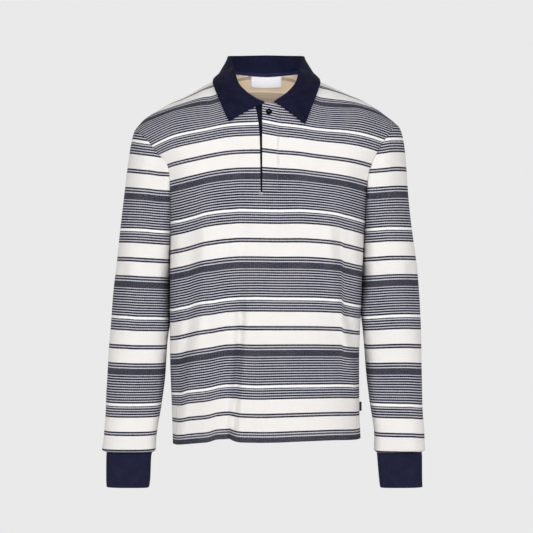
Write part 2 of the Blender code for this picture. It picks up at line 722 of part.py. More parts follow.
# ---------------------------------------------------------------- collar
def collar_station(along, side):
    """The fold and the leaf's edge at a station on one side."""
    sign = 1 if side == "left" else -1
    middle = mix(COLLAR_FRONT_X, COLLAR_BACK_X, clamp(2 * along / COLLAR_END))

    def value(column):
        return read_table(COLLAR_STATIONS, "along", column, along) * MM
    drop = COLLAR_TIP_DROP[side] * clamp(1 - along / COLLAR_TIP_REACH)
    fold = np.array((middle + sign * value("fold_" + side), value("fold_y"), value("fold_z")))
    edge = np.array((middle + sign * value("edge_" + side), value("edge_y"), value("edge_z") - drop))
    return fold, edge


def lift_off_body(point, clearance):
    """Move a point out until it clears the body's outer surface."""
    x, y, z = point
    face = "front" if y < 0 else "back"
    depth = abs(y)
    beyond = depth - abs(body_y(face, x, z))
    low, high = LIFT_SEARCH_Z, ridge_z(x)
    for _ in range(24):
        level = mix(low, high, 0.5)
        if abs(body_y(face, x, level)) > depth:
            low = level
        else:
            high = level
    above = z - high
    if beyond == 0 or above == 0:
        beyond = above = 1e-9
    distance = abs(beyond * above) / math.hypot(beyond, above)
    back, up = distance / abs(beyond), distance / abs(above)
    if beyond < 0 and above < 0:
        distance = -distance
    elif beyond < 0 or above < 0:
        distance = max(beyond, above)
        back, up = (1, 0) if beyond > above else (0, 1)
    push = max(clearance - distance, 0)
    return np.array((x, y + math.copysign(back * push, y), z + up * push))


def collar_rib(seam, fold, edge, run, radius):
    """The collar's visible face at one station: stand, fold, leaf.

    run is the direction of the fold line from station to station.
    """
    crest = -unit(unit(seam - fold) + unit(edge - fold))
    out = unit(np.cross(crest, run))
    crest = unit(np.cross(run, out))
    centre = fold - crest * radius
    arc = [centre + radius * (crest * math.cos(turn) + out * math.sin(turn))
           for turn in np.linspace(-math.pi / 2, math.pi / 2, FOLD_ROWS + 1)]
    stand = [mix(seam, arc[0], row / STAND_ROWS) for row in range(STAND_ROWS)]
    seam_depth = -np.dot(seam - centre, crest)
    seam_out = np.dot(seam - centre, out)
    leaf = []
    for row in range(1, LEAF_ROWS + 1):
        t = row / LEAF_ROWS
        point = mix(arc[-1], edge, t) + out * LEAF_BULGE * 4 * t * (1 - t)
        depth = -np.dot(point - centre, crest) / max(seam_depth, radius)
        if depth < LEAF_BY_STAND:
            behind = mix(-radius, seam_out, min(depth, 1)) + 2 * radius
            point = point + out * max(behind - np.dot(point - centre, out), 0)
        leaf.append(lift_off_body(point, LEAF_CLEARANCE))
    return stand + arc + leaf


def collar_grid(seam):
    """Rows from the neck seam over the fold to the leaf's edge."""
    count = len(seam) - 1
    stations = []
    for step in range(count + 1):
        along = 1 - abs(2 * step / count - 1)
        side = "right" if step <= count / 2 else "left"
        stations.append(collar_station(along, side) + (along,))
    runs = np.gradient(np.array([fold for fold, _, _ in stations]), axis=0)
    ribs = []
    for point, (fold, edge, along), run in zip(seam, stations, runs):
        radius = mix(FOLD_RADIUS_END, FOLD_RADIUS, clamp(along / COLLAR_END))
        ribs.append(collar_rib(point, fold, edge, unit(run), radius))
    return np.array(ribs).transpose(1, 0, 2)


# ---------------------------------------------------------------- small pieces
def placket_grids(front, slit_row, count):
    """The two plackets' outer faces, on the front panel's own rows."""
    seam_column = count + SLIT_COLUMNS
    top_rows, under_rows = [], []
    for row in range(slit_row, front.shape[0]):
        left_edge, right_edge = front[row, count], front[row, seam_column]

        def at(x):
            t = (x - left_edge[0]) / (right_edge[0] - left_edge[0])
            z = mix(left_edge[2], right_edge[2], t)
            if row == slit_row:
                z += SEAM_GAP
            if row == front.shape[0] - 1:
                z -= SEAM_GAP + PLACKET_SHOULDER * max(x / PLACKET_SEAM_X, 0)
            return np.array((x, body_y("front", x, z), z))
        reach = right_edge[0] - SEAM_GAP
        top_rows.append([at(x) for x in np.linspace(PLACKET_EDGE_X, reach, SLIT_COLUMNS + 2)])
        start = left_edge[0] - UNDER_PLACKET_LAP
        end = reach - UNDER_PLACKET_INSET
        under_rows.append([at(x) for x in np.linspace(start, end, SLIT_COLUMNS + 2)])
    return np.array(top_rows), np.array(under_rows)


def make_button(front_y):
    """A round four-hole button with a raised rim, its face to the front."""
    outline = [
        (0, BUTTON_THICKNESS - BUTTON_DISH),
        (BUTTON_RADIUS - 2 * BUTTON_RIM, BUTTON_THICKNESS - BUTTON_DISH),
        (BUTTON_RADIUS - BUTTON_RIM, BUTTON_THICKNESS),
        (BUTTON_RADIUS - 0.3 * BUTTON_RIM, BUTTON_THICKNESS * 0.9),
        (BUTTON_RADIUS, BUTTON_THICKNESS * 0.55),
        (BUTTON_RADIUS - 0.5 * BUTTON_RIM, 0),
        (0, 0),
    ]
    build = bmesh.new()
    points = [build.verts.new((radius, 0, height)) for radius, height in outline]
    edges = [build.edges.new(pair) for pair in zip(points, points[1:])]
    bmesh.ops.spin(build, geom=points + edges, axis=(0, 0, 1), cent=(0, 0, 0),
                   steps=24, angle=2 * math.pi, use_merge=True)
    bmesh.ops.remove_doubles(build, verts=build.verts, dist=1e-6)
    bmesh.ops.recalc_face_normals(build, faces=build.faces)
    mesh = bpy.data.meshes.new("button")
    build.to_mesh(mesh)
    build.free()
    mesh.shade_smooth()
    mesh.set_sharp_from_angle(angle=math.radians(35))
    mesh.materials.append(make_material("button", "button"))
    button = bpy.data.objects.new("button", mesh)
    bpy.context.collection.objects.link(button)
    above, below = BUTTON_Z + BUTTON_RADIUS, BUTTON_Z - BUTTON_RADIUS
    slope = (body_y("front", BUTTON_X, above) - body_y("front", BUTTON_X, below)) / (above - below)
    button.location = (BUTTON_X, front_y - SEAM_GAP, BUTTON_Z)
    button.rotation_euler = (math.pi / 2 - math.atan(slope), 0, 0)

    build = bmesh.new()
    for step in range(4):
        turn = (step + 0.5) * math.pi / 2
        place = Matrix.Translation((BUTTON_HOLE_OUT * math.cos(turn), BUTTON_HOLE_OUT * math.sin(turn), 0))
        bmesh.ops.create_cone(build, cap_ends=True, segments=12, radius1=BUTTON_HOLE_RADIUS,
                              radius2=BUTTON_HOLE_RADIUS, depth=4 * BUTTON_THICKNESS, matrix=place)
    mesh = bpy.data.meshes.new("button_holes")
    build.to_mesh(mesh)
    build.free()
    cutter = bpy.data.objects.new("button_holes", mesh)
    bpy.context.collection.objects.link(cutter)
    cutter.parent = button
    cutter.hide_render = True
    cutter.display_type = "WIRE"
    holes = button.modifiers.new("holes", "BOOLEAN")
    holes.operation = "DIFFERENCE"
    holes.solver = "EXACT"
    holes.object = cutter


def make_label(seam):
    """The back neck label, hanging straight from the neck seam inside."""
    order = np.argsort(seam[:, 0])
    xs = np.linspace(-LABEL_HALF_WIDTH, LABEL_HALF_WIDTH, LABEL_COLUMNS + 1) + COLLAR_BACK_X
    ys = np.interp(xs, seam[order, 0], seam[order, 1]) - LABEL_OFFSET
    zs = np.interp(xs, seam[order, 0], seam[order, 2]) - SEAM_GAP
    rows = []
    for drop in np.linspace(1, 0, LABEL_ROWS + 1):
        rows.append(np.column_stack([xs, ys + LABEL_HANG * drop ** 2, zs - LABEL_HEIGHT * drop]))
    face = np.array(rows)
    make_wall("neck_label", "label", face, face + np.array((0, LABEL_WALL, 0)))


def make_side_tab():
    """A folded tab standing out of the left side seam."""
    rows = []
    for t in (0, 1):
        z = TAB_TOP_Z - TAB_HEIGHT * (1 - t)
        start = half_width("front", "left", z) + SEAM_GAP
        rows.append([(start + TAB_REACH * out, -TAB_WALL / 2 * thick, z)
                     for out, thick in ((0, 1), (0.75, 1), (1, 0.4))])
    face = np.array(rows)
    make_wall("side_tab", "tab", face, face * np.array((1, -1, 1)))


def main():
    for leftover in list(bpy.data.objects):
        bpy.data.objects.remove(leftover, do_unlink=True)

    count = NECK_COLUMNS + SHOULDER_COLUMNS
    front = place("front", front_grid())
    back = place("back", back_grid())
    front_out = grid_normals(front)
    back_out = grid_normals(back)

    # Side seams and shoulder seams share their wall directions.
    below = slice(0, ROWS_BELOW + 1)
    blend_edges(front_out, (below, 0), back_out, (below, -1))
    blend_edges(front_out, (below, -1), back_out, (below, 0))
    shoulder = SHOULDER_COLUMNS + 1
    blend_edges(front_out, (-1, slice(0, shoulder)), back_out, (-1, slice(-1, -shoulder - 1, -1)))
    blend_edges(front_out, (-1, slice(-1, -shoulder - 1, -1)), back_out, (-1, slice(0, shoulder)))

    # Sleeves start just off the armholes: tip, front, underarm, back.
    for side, front_column, back_column in (("right", 0, -1), ("left", -1, 0)):
        fronts = list(range(ROWS_BELOW + ROWS_ABOVE, ROWS_BELOW - 1, -1))
        backs = list(range(ROWS_BELOW + 1, ROWS_BELOW + ROWS_ABOVE))
        seam = np.concatenate([front[fronts, front_column], back[backs, back_column]])
        seam_out = np.concatenate([front_out[fronts, front_column], back_out[backs, back_column]])
        for corner in (0, ROWS_ABOVE):
            seam[corner, 1] = 0
        sleeve = sleeve_grid(side, seam)
        facing = -1 if side == "right" else 1
        sleeve_out = grid_normals(sleeve, closed=True, facing=facing)
        shared = seat_on_seam(sleeve, sleeve_out, seam, seam_out, closed=True)
        front_out[fronts, front_column] = shared[:len(fronts)]
        back_out[backs, back_column] = shared[len(fronts):]
        back_out[ROWS_BELOW, back_column] = shared[ROWS_ABOVE]
        back_out[-1, back_column] = shared[0]
        make_wall("sleeve_" + side, "stripe", sleeve, sleeve - sleeve_out * BODY_WALL,
                  closed=True, facing=facing)
        cuff = cuff_grid(side, len(seam))
        cuff_out = grid_normals(cuff, closed=True, facing=facing)
        cuff_out = unit(cuff_out * np.array((1, 1, 0)))
        make_wall("cuff_" + side, "rib", cuff, cuff - cuff_out * CUFF_WALL,
                  closed=True, facing=facing)

    # The collar runs from the right front end round the back to the left.
    seam_column = count + SLIT_COLUMNS
    neck = ([("front", column) for column in range(count, SHOULDER_COLUMNS - 1, -1)]
            + [("back", column)
               for column in range(2 * count - SHOULDER_COLUMNS - 1, SHOULDER_COLUMNS, -1)]
            + [("front", column) for column in range(seam_column + NECK_COLUMNS, seam_column - 1, -1)])
    panels = dict(front=(front, front_out), back=(back, back_out))
    seam = np.array([panels[face][0][-1, column] for face, column in neck])
    seam_out = np.array([panels[face][1][-1, column] for face, column in neck])
    seam[NECK_COLUMNS, 1] = 0
    seam[-NECK_COLUMNS - 1, 1] = 0
    collar = collar_grid(seam)
    collar_out = grid_normals(collar)
    shared = seat_on_seam(collar, collar_out, seam, seam_out, closed=False, keep_side=-1)
    for (face, column), direction in zip(neck, shared):
        panels[face][1][-1, column] = direction
    back_out[-1, 2 * count - SHOULDER_COLUMNS] = shared[NECK_COLUMNS]
    back_out[-1, SHOULDER_COLUMNS] = shared[-NECK_COLUMNS - 1]
    make_wall("collar", "navy", collar, collar - collar_out * COLLAR_WALL)

    back_half = slice(NECK_COLUMNS, -NECK_COLUMNS)
    stand = unit(collar[STAND_ROWS, back_half] - collar[0, back_half])
    facing_neck = collar_out[1, back_half]
    tape_base = collar[0, back_half] + facing_neck * SEAM_GAP
    tape_hidden = np.array([tape_base + stand * height for height in (SEAM_GAP, TAPE_HEIGHT)])
    make_wall("neck_tape", "navy", tape_hidden + facing_neck * TAPE_WALL, tape_hidden)
    make_label(collar[0, back_half])

    # The front, with its slit cut out, and the two plackets.
    slit_row = next(row for row in range(front.shape[0]) if front[row, count, 2] > SLIT_BOTTOM)

    def in_slit(row, column):
        return row >= slit_row and count <= column < seam_column
    make_wall("front", "stripe", front, front - front_out * BODY_WALL, absent=in_slit)
    make_wall("back", "stripe", back, back - back_out * BODY_WALL)
    top, under = placket_grids(front, slit_row, count)
    top_out, under_out = grid_normals(top), grid_normals(under)
    make_wall("placket_top", "stripe", top + top_out * PLACKET_PROUD,
              top - top_out * (PLACKET_WALL - PLACKET_PROUD))
    behind = BODY_WALL + SEAM_GAP * 2
    make_wall("placket_under", "navy", under - under_out * behind,
              under - under_out * (behind + BODY_WALL))
    make_button(body_y("front", BUTTON_X, BUTTON_Z) - PLACKET_PROUD)
    make_side_tab()


main()
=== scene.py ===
import math
import bpy
import numpy as np
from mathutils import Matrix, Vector


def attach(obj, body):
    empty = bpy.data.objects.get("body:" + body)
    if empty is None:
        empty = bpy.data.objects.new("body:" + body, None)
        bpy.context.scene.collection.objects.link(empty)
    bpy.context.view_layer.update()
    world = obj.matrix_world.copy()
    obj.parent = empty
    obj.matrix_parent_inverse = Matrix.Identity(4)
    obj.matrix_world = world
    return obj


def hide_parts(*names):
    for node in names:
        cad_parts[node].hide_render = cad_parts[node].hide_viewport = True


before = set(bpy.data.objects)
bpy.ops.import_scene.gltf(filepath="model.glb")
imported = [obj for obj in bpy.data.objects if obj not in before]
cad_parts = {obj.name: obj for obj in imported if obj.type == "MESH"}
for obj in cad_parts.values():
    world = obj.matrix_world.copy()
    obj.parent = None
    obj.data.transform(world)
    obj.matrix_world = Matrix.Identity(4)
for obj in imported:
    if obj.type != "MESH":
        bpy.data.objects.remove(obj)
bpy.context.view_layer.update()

# A striped long-sleeved knit polo shirt, worn and hollow. Sizes are in millimetres until a mesh
# is made. The front faces -Y, left and right are the wearer's, and left is +X.
mm = 0.001


# numbers and curves

def table(names, *rows):
    values = np.array(sorted(rows), float)
    return {name: values[:, i] for i, name in enumerate(names.split())}


def read(rows, name, at):
    # a smooth curve through one column of a table, by the value in its first column
    keys, values = next(iter(rows.values())), rows[name]
    steps = np.diff(keys)
    rises = np.diff(values) / steps
    slopes = np.concatenate([rises[:1], np.zeros(len(keys) - 2), rises[-1:]])
    before, after = rises[:-1], rises[1:]
    rising = before * after > 0
    slopes[1:-1][rising] = 2 * before[rising] * after[rising] / (before + after)[rising]
    at = np.clip(at, keys[0], keys[-1])
    i = np.clip(np.searchsorted(keys, at) - 1, 0, len(keys) - 2)
    t = (at - keys[i]) / steps[i]
    ends = values[i] * (1 + 2 * t) * (1 - t) ** 2 + values[i + 1] * t * t * (3 - 2 * t)
    return ends + steps[i] * (slopes[i] * t * (1 - t) ** 2 - slopes[i + 1] * t * t * (1 - t))


def readAll(rows, at):
    # every column after the first
    return [read(rows, name, at) for name in list(rows)[1:]]


def mix(a, b, t):
    return a + (b - a) * t


def clamp(value):
    return np.clip(value, 0.0, 1.0)


def unit(vectors):
    return vectors / np.maximum(np.linalg.norm(vectors, axis=-1, keepdims=True), 1e-9)


def alongRow(grid, axis, closed=False):
    # the direction of a grid's rows, axis 1, or columns, axis 0, at each point
    if closed:
        return np.roll(grid, -1, axis) - np.roll(grid, 1, axis)
    return np.gradient(grid, axis=axis)


def closeRing(grid):
    return np.concatenate([grid, grid[:, :1]], axis=1)


def lengthsAlong(points, axis=0):
    steps = np.linalg.norm(np.diff(points, axis=axis), axis=-1)
    start = np.zeros_like(np.take(steps, [0], axis=axis))
    return np.concatenate([start, np.cumsum(steps, axis=axis)], axis=axis)


def evenShares(count):
    return np.linspace(0, 1, count + 1)


def stepsAlong(curve, shares):
    # places on a curve of one parameter, 0 to 1, at shares of its length
    t = evenShares(399)
    lengths = lengthsAlong(np.column_stack(curve(t)))
    return curve(np.interp(np.array(shares) * lengths[-1], lengths, t))


def addObject(name, data, place=(0, 0, 0), aim=None):
    # puts an object in the scene, looking at a point where one is given
    made = bpy.data.objects.new(name, data)
    made.location = place
    if aim:
        made.rotation_euler = (Vector(aim) - Vector(place)).to_track_quat("-Z", "Y").to_euler()
    bpy.context.collection.objects.link(made)
    return made


# the body's form, as in the solids

body = {
    "seamGap": 0.12, "wall": 1.4,
    "underarmZ": -322, "hemMiddleZ": -672,
    "sideRoundness": {"front": 2.6, "back": 2.2}, "topRoundness": 2.2,
    "shoulderArch": 128, "tip": {"right": 244, "left": 242},
    "halfNeck": 83, "neckDrop": -59, "neckRoundness": 1.2,
    "backRise": 10, "backDip": 4,
    "foldFade": (0.35, 0.6, 0.25),  # at the sides, under the shoulders and at a fold's own ends
}
bodySections = table("z right left front back backOut",
    (10, 292, 292, 84, 93, 0), (-60, 286, 286, 98, 104, 0), (-100, 268, 270, 107, 110, 10),
    (-160, 212, 220, 116, 114, 34), (-225, 191, 195, 121, 115, 22), (-290, 180.6, 183.6, 123, 113, 6),
    (-322, 178, 181, 123, 111, 0), (-440, 178.4, 175.8, 121, 104, 0), (-520, 177.8, 172.8, 118, 100, 0),
    (-613, 174.6, 173.2, 115, 99, 0), (-690, 172.6, 176.8, 113, 101, 0))
shoulderRidge = table("out right left",
    (0, 40, 40), (40, 29, 29), (83, 2, 2), (98, -7, -6.5),
    (115, -15.5, -14), (132, -26, -22), (154, -37.8, -32), (183, -50.8, -44.8),
    (205, -63.8, -58), (224, -76, -72), (237, -89.5, -82), (244, -98.2, -88.5))
armhole = table("down front_right front_left back_right back_left",
    (0, 0, 0, 0, 0), (0.04, 12, 8, 5, 5), (0.09, 26, 17, 12, 12), (0.15, 36, 27, 20, 20),
    (0.20, 45, 34, 27, 26), (0.30, 64, 47, 38, 36), (0.36, 67.5, 52, 44, 42), (0.45, 69, 56.5, 51, 48),
    (0.60, 69.6, 58, 58, 54), (0.80, 69, 60, 63, 58), (1, 66, 61, 66, 61))
hem = table("x front back",
    (-174, -678, -679), (-127, -671, -673), (-105, -668, -670), (-87, -662.5, -668),
    (-67, -661.6, -666.3), (-60, -665.2, -665.6), (-40, -667, -665), (0, -668, -664),
    (61, -666, -664), (115, -665, -665), (176, -668, -668))

# Folds of the body: a soft ridge, or a trough below 0, from a top place to a bottom one.
# Each is top, xTop, bottom, xBottom, width, height.
folds = {
    "front": [
        (-230, -108, -480, -117, 11, 4), (-230, -130, -480, -139, 11, -3.5),
        (-420, -113, -700, -163, 11, 5), (-420, -134, -700, -184, 9, -7),
        (-240, -36, -460, -49, 10, -3.5), (-380, -26, -700, -49, 19, 6), (-380, -40.5, -700, -64, 7, -13),
        (-590, -63, -700, -67, 5, -3), (-235, -163, -440, -168, 13, 9), (-250, 110, -430, 127, 9, 3.5),
        (-250, 127, -430, 144, 8, -3), (-390, 127, -600, 168, 8, 6), (-390, 141, -600, 181, 7, -4.5),
        (-235, 165, -430, 169, 13, 8), (-110, -160, -330, -112, 24, 4), (-110, 168, -330, 118, 24, 4)],
    "back": [
        (-230, 122, -690, 150, 17, 7), (-260, -118, -690, -150, 18, 6), (-360, 34, -700, 62, 18, 5),
        (-380, -30, -700, -52, 20, -4), (-120, -170, -330, -110, 26, 5), (-120, 170, -330, 108, 26, 5)],
}


def roundOff(share, power):
    # the height of a round form: 1 at its middle, 0 where the share of its width is 1
    return np.maximum(1 - share ** power, 0) ** (1 / power)


def sided(rows, at, x):
    return np.where(x >= 0, read(rows, "left", at), read(rows, "right", at))


def ridgeZ(x):
    return sided(shoulderRidge, np.abs(x), x)


def halfWidth(face, x, z):
    extra = read(bodySections, "backOut", z) if face == "back" else 0
    return sided(bodySections, z, x) + extra


def foldHeight(face, x, z):
    total = np.zeros(np.broadcast(x, z).shape)
    for top, xTop, bottom, xBottom, width, height in folds[face]:
        run = (top - z) / (top - bottom)
        fade = clamp(run / body["foldFade"][2]) * clamp((1.15 - run) / body["foldFade"][2])
        total = total + height * fade * np.exp(-((x - mix(xTop, xBottom, run)) / width) ** 2)
    return total


def bodyY(face, x, z):
    across = roundOff(np.abs(x) / halfWidth(face, x, z), body["sideRoundness"][face])
    arch = roundOff(1 - clamp((ridgeZ(x) - z) / body["shoulderArch"]), body["topRoundness"])
    loose = clamp(across / body["foldFade"][0]) * clamp(arch / body["foldFade"][1])
    y = read(bodySections, face, z) * across * arch + foldHeight(face, x, z) * loose
    y = np.maximum(y, body["seamGap"] / 2)
    return -y if face == "front" else y


def onBody(face, x, z):
    return np.stack(np.broadcast_arrays(x, bodyY(face, x, z), z), axis=-1)


# the body's panels as grids of points

# spans along each edge, and how they crowd towards the side and the underarm
weave = {"neck": 30, "shoulder": 40, "slit": 12, "below": 80, "above": 70, "sideCrowd": 2.5, "armCrowd": 1.5}
signs = {"right": -1, "left": 1}


def halfPanel(face, side, innerLine):
    # x and z of half a panel, from hem to top and from its inner line to its side
    sign, underarm = signs[side], body["underarmZ"]
    neckEnd, tip = sign * body["halfNeck"], sign * body["tip"][side]
    even = evenShares(weave["neck"] + weave["shoulder"])

    def acrossAt(level):
        # x at even steps along the cloth at one height
        inner, outer = innerLine(level), sign * halfWidth(face, sign, level)

        def along(t):
            x = mix(inner, outer, 1 - (1 - t) ** weave["sideCrowd"])
            return x, bodyY(face, x, level)
        return stepsAlong(along, even)[0]

    def neck(t):
        turn = mix(math.asin(min(abs(innerLine(0)) / body["halfNeck"], 1)), math.pi / 2, t)
        cosine = np.maximum(np.cos(turn), 0)
        if face == "front":
            drop = body["neckDrop"] * cosine ** body["neckRoundness"]
        else:
            drop = body["backRise"] * (1 - np.sin(turn) ** 6) - body["backDip"] * cosine ** 4
        return neckEnd * np.sin(turn), ridgeZ(neckEnd) + drop

    def shoulder(t):
        x = mix(neckEnd, tip, t)
        return x, ridgeZ(x)

    def arm(t):
        out = abs(tip) - read(armhole, face + "_" + side, 1 - t)
        out = np.where(t <= 0, halfWidth(face, sign, underarm), out)
        return sign * out, mix(ridgeZ(tip), underarm, 1 - t)

    def edgeOf(line, shares):
        def onCloth(t):
            x, z = line(t)
            return x, bodyY(face, x, z), z
        x, _, z = stepsAlong(onCloth, shares)
        return np.column_stack([x, z])
    rows = []
    for rise in np.arange(weave["below"]) / weave["below"]:
        x = acrossAt(mix(body["hemMiddleZ"], underarm, rise))
        rows.append(np.column_stack([x, mix(read(hem, face, x), underarm, rise)]))
    x = acrossAt(underarm)
    bottom = np.column_stack([x, np.full_like(x, underarm)])
    neckEdge = edgeOf(neck, evenShares(weave["neck"]))
    top = np.concatenate([neckEdge[:-1], edgeOf(shoulder, evenShares(weave["shoulder"]))])
    shares = 1 - (1 - evenShares(weave["above"])) ** weave["armCrowd"]
    u = even[:, None]
    for t, outer in zip(shares, edgeOf(arm, shares)):
        z = mix(underarm, top[0, 1], t)
        inner = np.array((innerLine(z), z))
        flat = mix(mix(bottom[0], bottom[-1], u), mix(top[0], top[-1], u), t)
        rows.append(mix(bottom, top, t) + mix(inner, outer, u) - flat)
    return np.array(rows)


placket = {
    "slitBottomZ": -220, "seamX": 23, "edgeX": -6.8,
    "wall": 2.0, "proud": 0.8, "shoulder": 3, "stripeLift": 4.4,
    "underLap": 9, "underInset": 6, "underGap": 0.34,
    "columns": 14,
    "topRows": 6,  # the rows that give way to the collar's seam
}
slitEdge = table("z x", (-60, -19.5), (-84, -14.6), (-115, -11.4), (-163, -10.3), (-214, -9.4))


# walls of cloth

def normalsOf(grid, closed=False, facing=1):
    return unit(np.cross(alongRow(grid, 1, closed), alongRow(grid, 0)) * facing)


def clothMap(grid, rows=None, closed=False):
    # u is the length around in millimetres, v the stripe row that is given, or the length up
    if closed:
        grid = closeRing(grid)
    u = lengthsAlong(grid, axis=1)
    v = -lengthsAlong(grid, axis=0) if rows is None else rows
    if v.shape[1] < u.shape[1]:
        v = closeRing(v)
    return np.stack([u - u.mean(axis=1, keepdims=True), v], axis=-1)


edge = {
    "steps": 4,
    "seamRound": 0.3,  # sewn edges keep only this of their round, so that a seam is a fine crease
}
pieces = {}
cloths = {}


def makeWall(name, outer, inner, uv, *shades, closed=False, absent=None, facing=1, free=None):
    # a closed solid between two grids of points, with edges that are half round where they are free
    cloths[name] = outer
    rows, columns = outer.shape[:2]
    spans = columns if closed else columns - 1
    present = np.ones((rows - 1, spans), bool)
    if absent is not None:
        present &= ~absent[:rows - 1, :spans]
    centres = 0.25 * (outer[:-1] + outer[1:])
    centres = centres[:, :spans] + np.roll(centres, -1, axis=1)[:, :spans]
    far = rows * columns
    edges, touching = {}, {}
    faces, places, slots = [], [], []
    for row, column in np.argwhere(present):
        corners = [(row, column), (row, column + 1), (row + 1, column + 1), (row + 1, column)]
        ids = [down * columns + across % columns for down, across in corners]
        for i in range(4):
            edges[ids[i], ids[(i + 1) % 4]] = (corners[i], corners[(i + 1) % 4])
            touching.setdefault(ids[i], []).append(centres[row, column])
        spots = [uv[corner] for corner in corners]
        faces += [ids, [i + far for i in reversed(ids)]]
        places += [spots, spots[::-1]]
        slots += [0, len(shades) - 1]
    border = {pair: ends for pair, ends in edges.items() if pair[::-1] not in edges}
    layers = [outer.reshape(-1, 3).copy(), inner.reshape(-1, 3).copy()]
    arcs, points = {}, []
    for i in dict.fromkeys(corner for pair in border for corner in pair):
        through = layers[1][i] - layers[0][i]
        away = layers[0][i] - np.mean(touching[i], axis=0)
        away = unit(away - unit(through) * np.dot(away, unit(through)))
        share = 1.0 if free is None or free(*divmod(i, columns)) else edge["seamRound"]
        back = away * (np.linalg.norm(through) / 2) * share
        arcs[i] = []
        for step in range(1, edge["steps"]):
            turn = math.pi * step / edge["steps"]
            middle = layers[0][i] + through * (1 - math.cos(turn)) / 2
            arcs[i].append(2 * far + len(points))
            points.append(middle + back * (math.sin(turn) - 1))
        for layer in layers:
            layer[i] -= back
    for (start, end), (startPlace, endPlace) in border.items():
        first = [start] + arcs[start] + [start + far]
        second = [end] + arcs[end] + [end + far]
        for step in range(edge["steps"]):
            faces.append([first[step], first[step + 1], second[step + 1], second[step]])
            places.append([uv[startPlace], uv[startPlace], uv[endPlace], uv[endPlace]])
            slots.append(0)
    vertices = np.concatenate(layers + [np.array(points)])
    faces = np.array(faces)[:, ::facing]
    used = np.zeros(len(vertices), bool)
    used[faces] = True
    title = name + "_cloth"
    mesh = bpy.data.meshes.new(title)
    mesh.from_pydata((vertices[used] * mm).tolist(), [], (np.cumsum(used) - 1)[faces].tolist())
    layer = mesh.uv_layers.new(name="cloth")
    layer.data.foreach_set("uv", np.array(places, np.float32)[:, ::facing].ravel())
    mesh.polygons.foreach_set("material_index", slots)
    mesh.shade_smooth()
    for shade in shades:
        mesh.materials.append(shade.material)
    pieces[name] = addObject(title, mesh)


def sewOn(build, parts, corners, closed=False, facing=1, keepSide=1):
    # builds a grid on a seam of the panels, starts it just off their edge and shares its directions
    seam, seamOut = (np.concatenate([values[face][rows, columns] for face, rows, columns in parts])
                     for values in (grids, outs))
    seam[list(corners), 1] = 0
    grid = build(seam.copy())
    out = normalsOf(grid, closed, facing)
    own = out[0] * keepSide
    agreement = np.sum(seamOut * own, axis=1, keepdims=True)
    share = clamp(agreement / 0.5) if closed else np.ones_like(agreement)
    shared = unit(seamOut + own * share)
    away = unit(np.cross(alongRow(seam, 0, closed), shared))
    if np.sum(away * (grid[1] - grid[0])) < 0:
        away = -away
    away = unit(away * share + seamOut * (1 - share))
    start = seam if keepSide == 1 else seam - shared * body["wall"]
    grid[0] = start + away * body["seamGap"]
    out[0] = unit(own * (1 - share) + shared * share) * keepSide
    first = 0
    for face, rows, columns in parts:
        last = first + max(np.size(rows), np.size(columns))
        outs[face][rows, columns] = shared[first:last]
        first = last
    for i, place in corners.items():
        outs["back"][place] = shared[i]
    return grid, out


# stripes: where their rows lie on the cloth

stripes = {
    "repeat": 157.5,
    "hemRow": 102.9,  # rows from the last thin white line to the hem
    "sleeveFoot": {"right": 0.993, "left": 0.962},
    "chestLift": 2.2,  # between the first two lines, fading out towards the wearer's left side
    "backSpread": 0.85,  # the back reads the front's heights at this share of its x
    # how the rows close up above the first line: plainly, or beside the collar in two parts
    "plainPower": 5.5, "earlyPower": 1.2, "latePower": 20, "evenShare": 0.6,
}
# heights of the thin white line of each repeat across the front, with the last one above the hem
stripeLines = table("x one two three four",
    (-240, -146, -290, -446, -600), (-208, -130.6, -280, -438, -592), (-185, -120.5, -272.5, -431, -586),
    (-170, -114.7, -269.4, -429, -583.6), (-156, -111, -267.5, -426, -582),
    (-141, -108, -264, -423, -576.5), (-126, -105.3, -260.3, -417.8, -574.4),
    (-112, -102.9, -256.1, -414.9, -572.6), (-97, -99.9, -253.2, -413.4, -569.5),
    (-83, -97.2, -251.4, -411, -566), (-68, -94.8, -250.2, -408.8, -564.2),
    (-45, -93, -248.8, -407.3, -564.6), (-14, -92, -249.5, -406.9, -566),
    (20, -93.5, -250, -407.5, -565.2), (61, -97.7, -249.4, -407.9, -564.7),
    (90, -101.9, -250.9, -408.4, -564.8), (119, -104.3, -253.9, -410.1, -565),
    (136, -105, -257.2, -411.3, -565.5), (141, -105.4, -258.6, -416, -565.9),
    (149, -106.2, -260.2, -418.2, -566.5), (165, -108.3, -264.2, -421.7, -568.4),
    (180, -111, -267.8, -424, -570), (215, -120.4, -276, -432, -578), (240, -128, -282, -438, -584))
# how far above the first thin white line the cloth reaches the shoulder seam
ridgeRows = table("out row", (0, 140), (83, 138), (115, 133), (154, 120), (183, 104), (199, 86),
    (223, 68), (244, 56))
# how much the rows close up in two parts, where the cloth leans back beside the collar
shoulderLean = table("x share", (-165, 0), (-130, 0.3), (-112, 0.6), (-99, 0.85), (-85, 0.8), (-55, 0),
    (55, 0), (85, 0.8), (100, 1), (120, 0.85), (143, 0.55), (168, 0))


def chartRows(lines, at, z):
    # length down the cloth in millimetres, 0 at the first thin white line, and the lines' heights
    repeat = stripes["repeat"]
    heights = readAll(lines, at)
    rows = (heights[0] - z) * repeat / (heights[0] - heights[1])
    for step in (1, 2):
        span = heights[step] - heights[step + 1]
        rows = np.where(z < heights[step], (step + (heights[step] - z) / span) * repeat, rows)
    return rows, heights


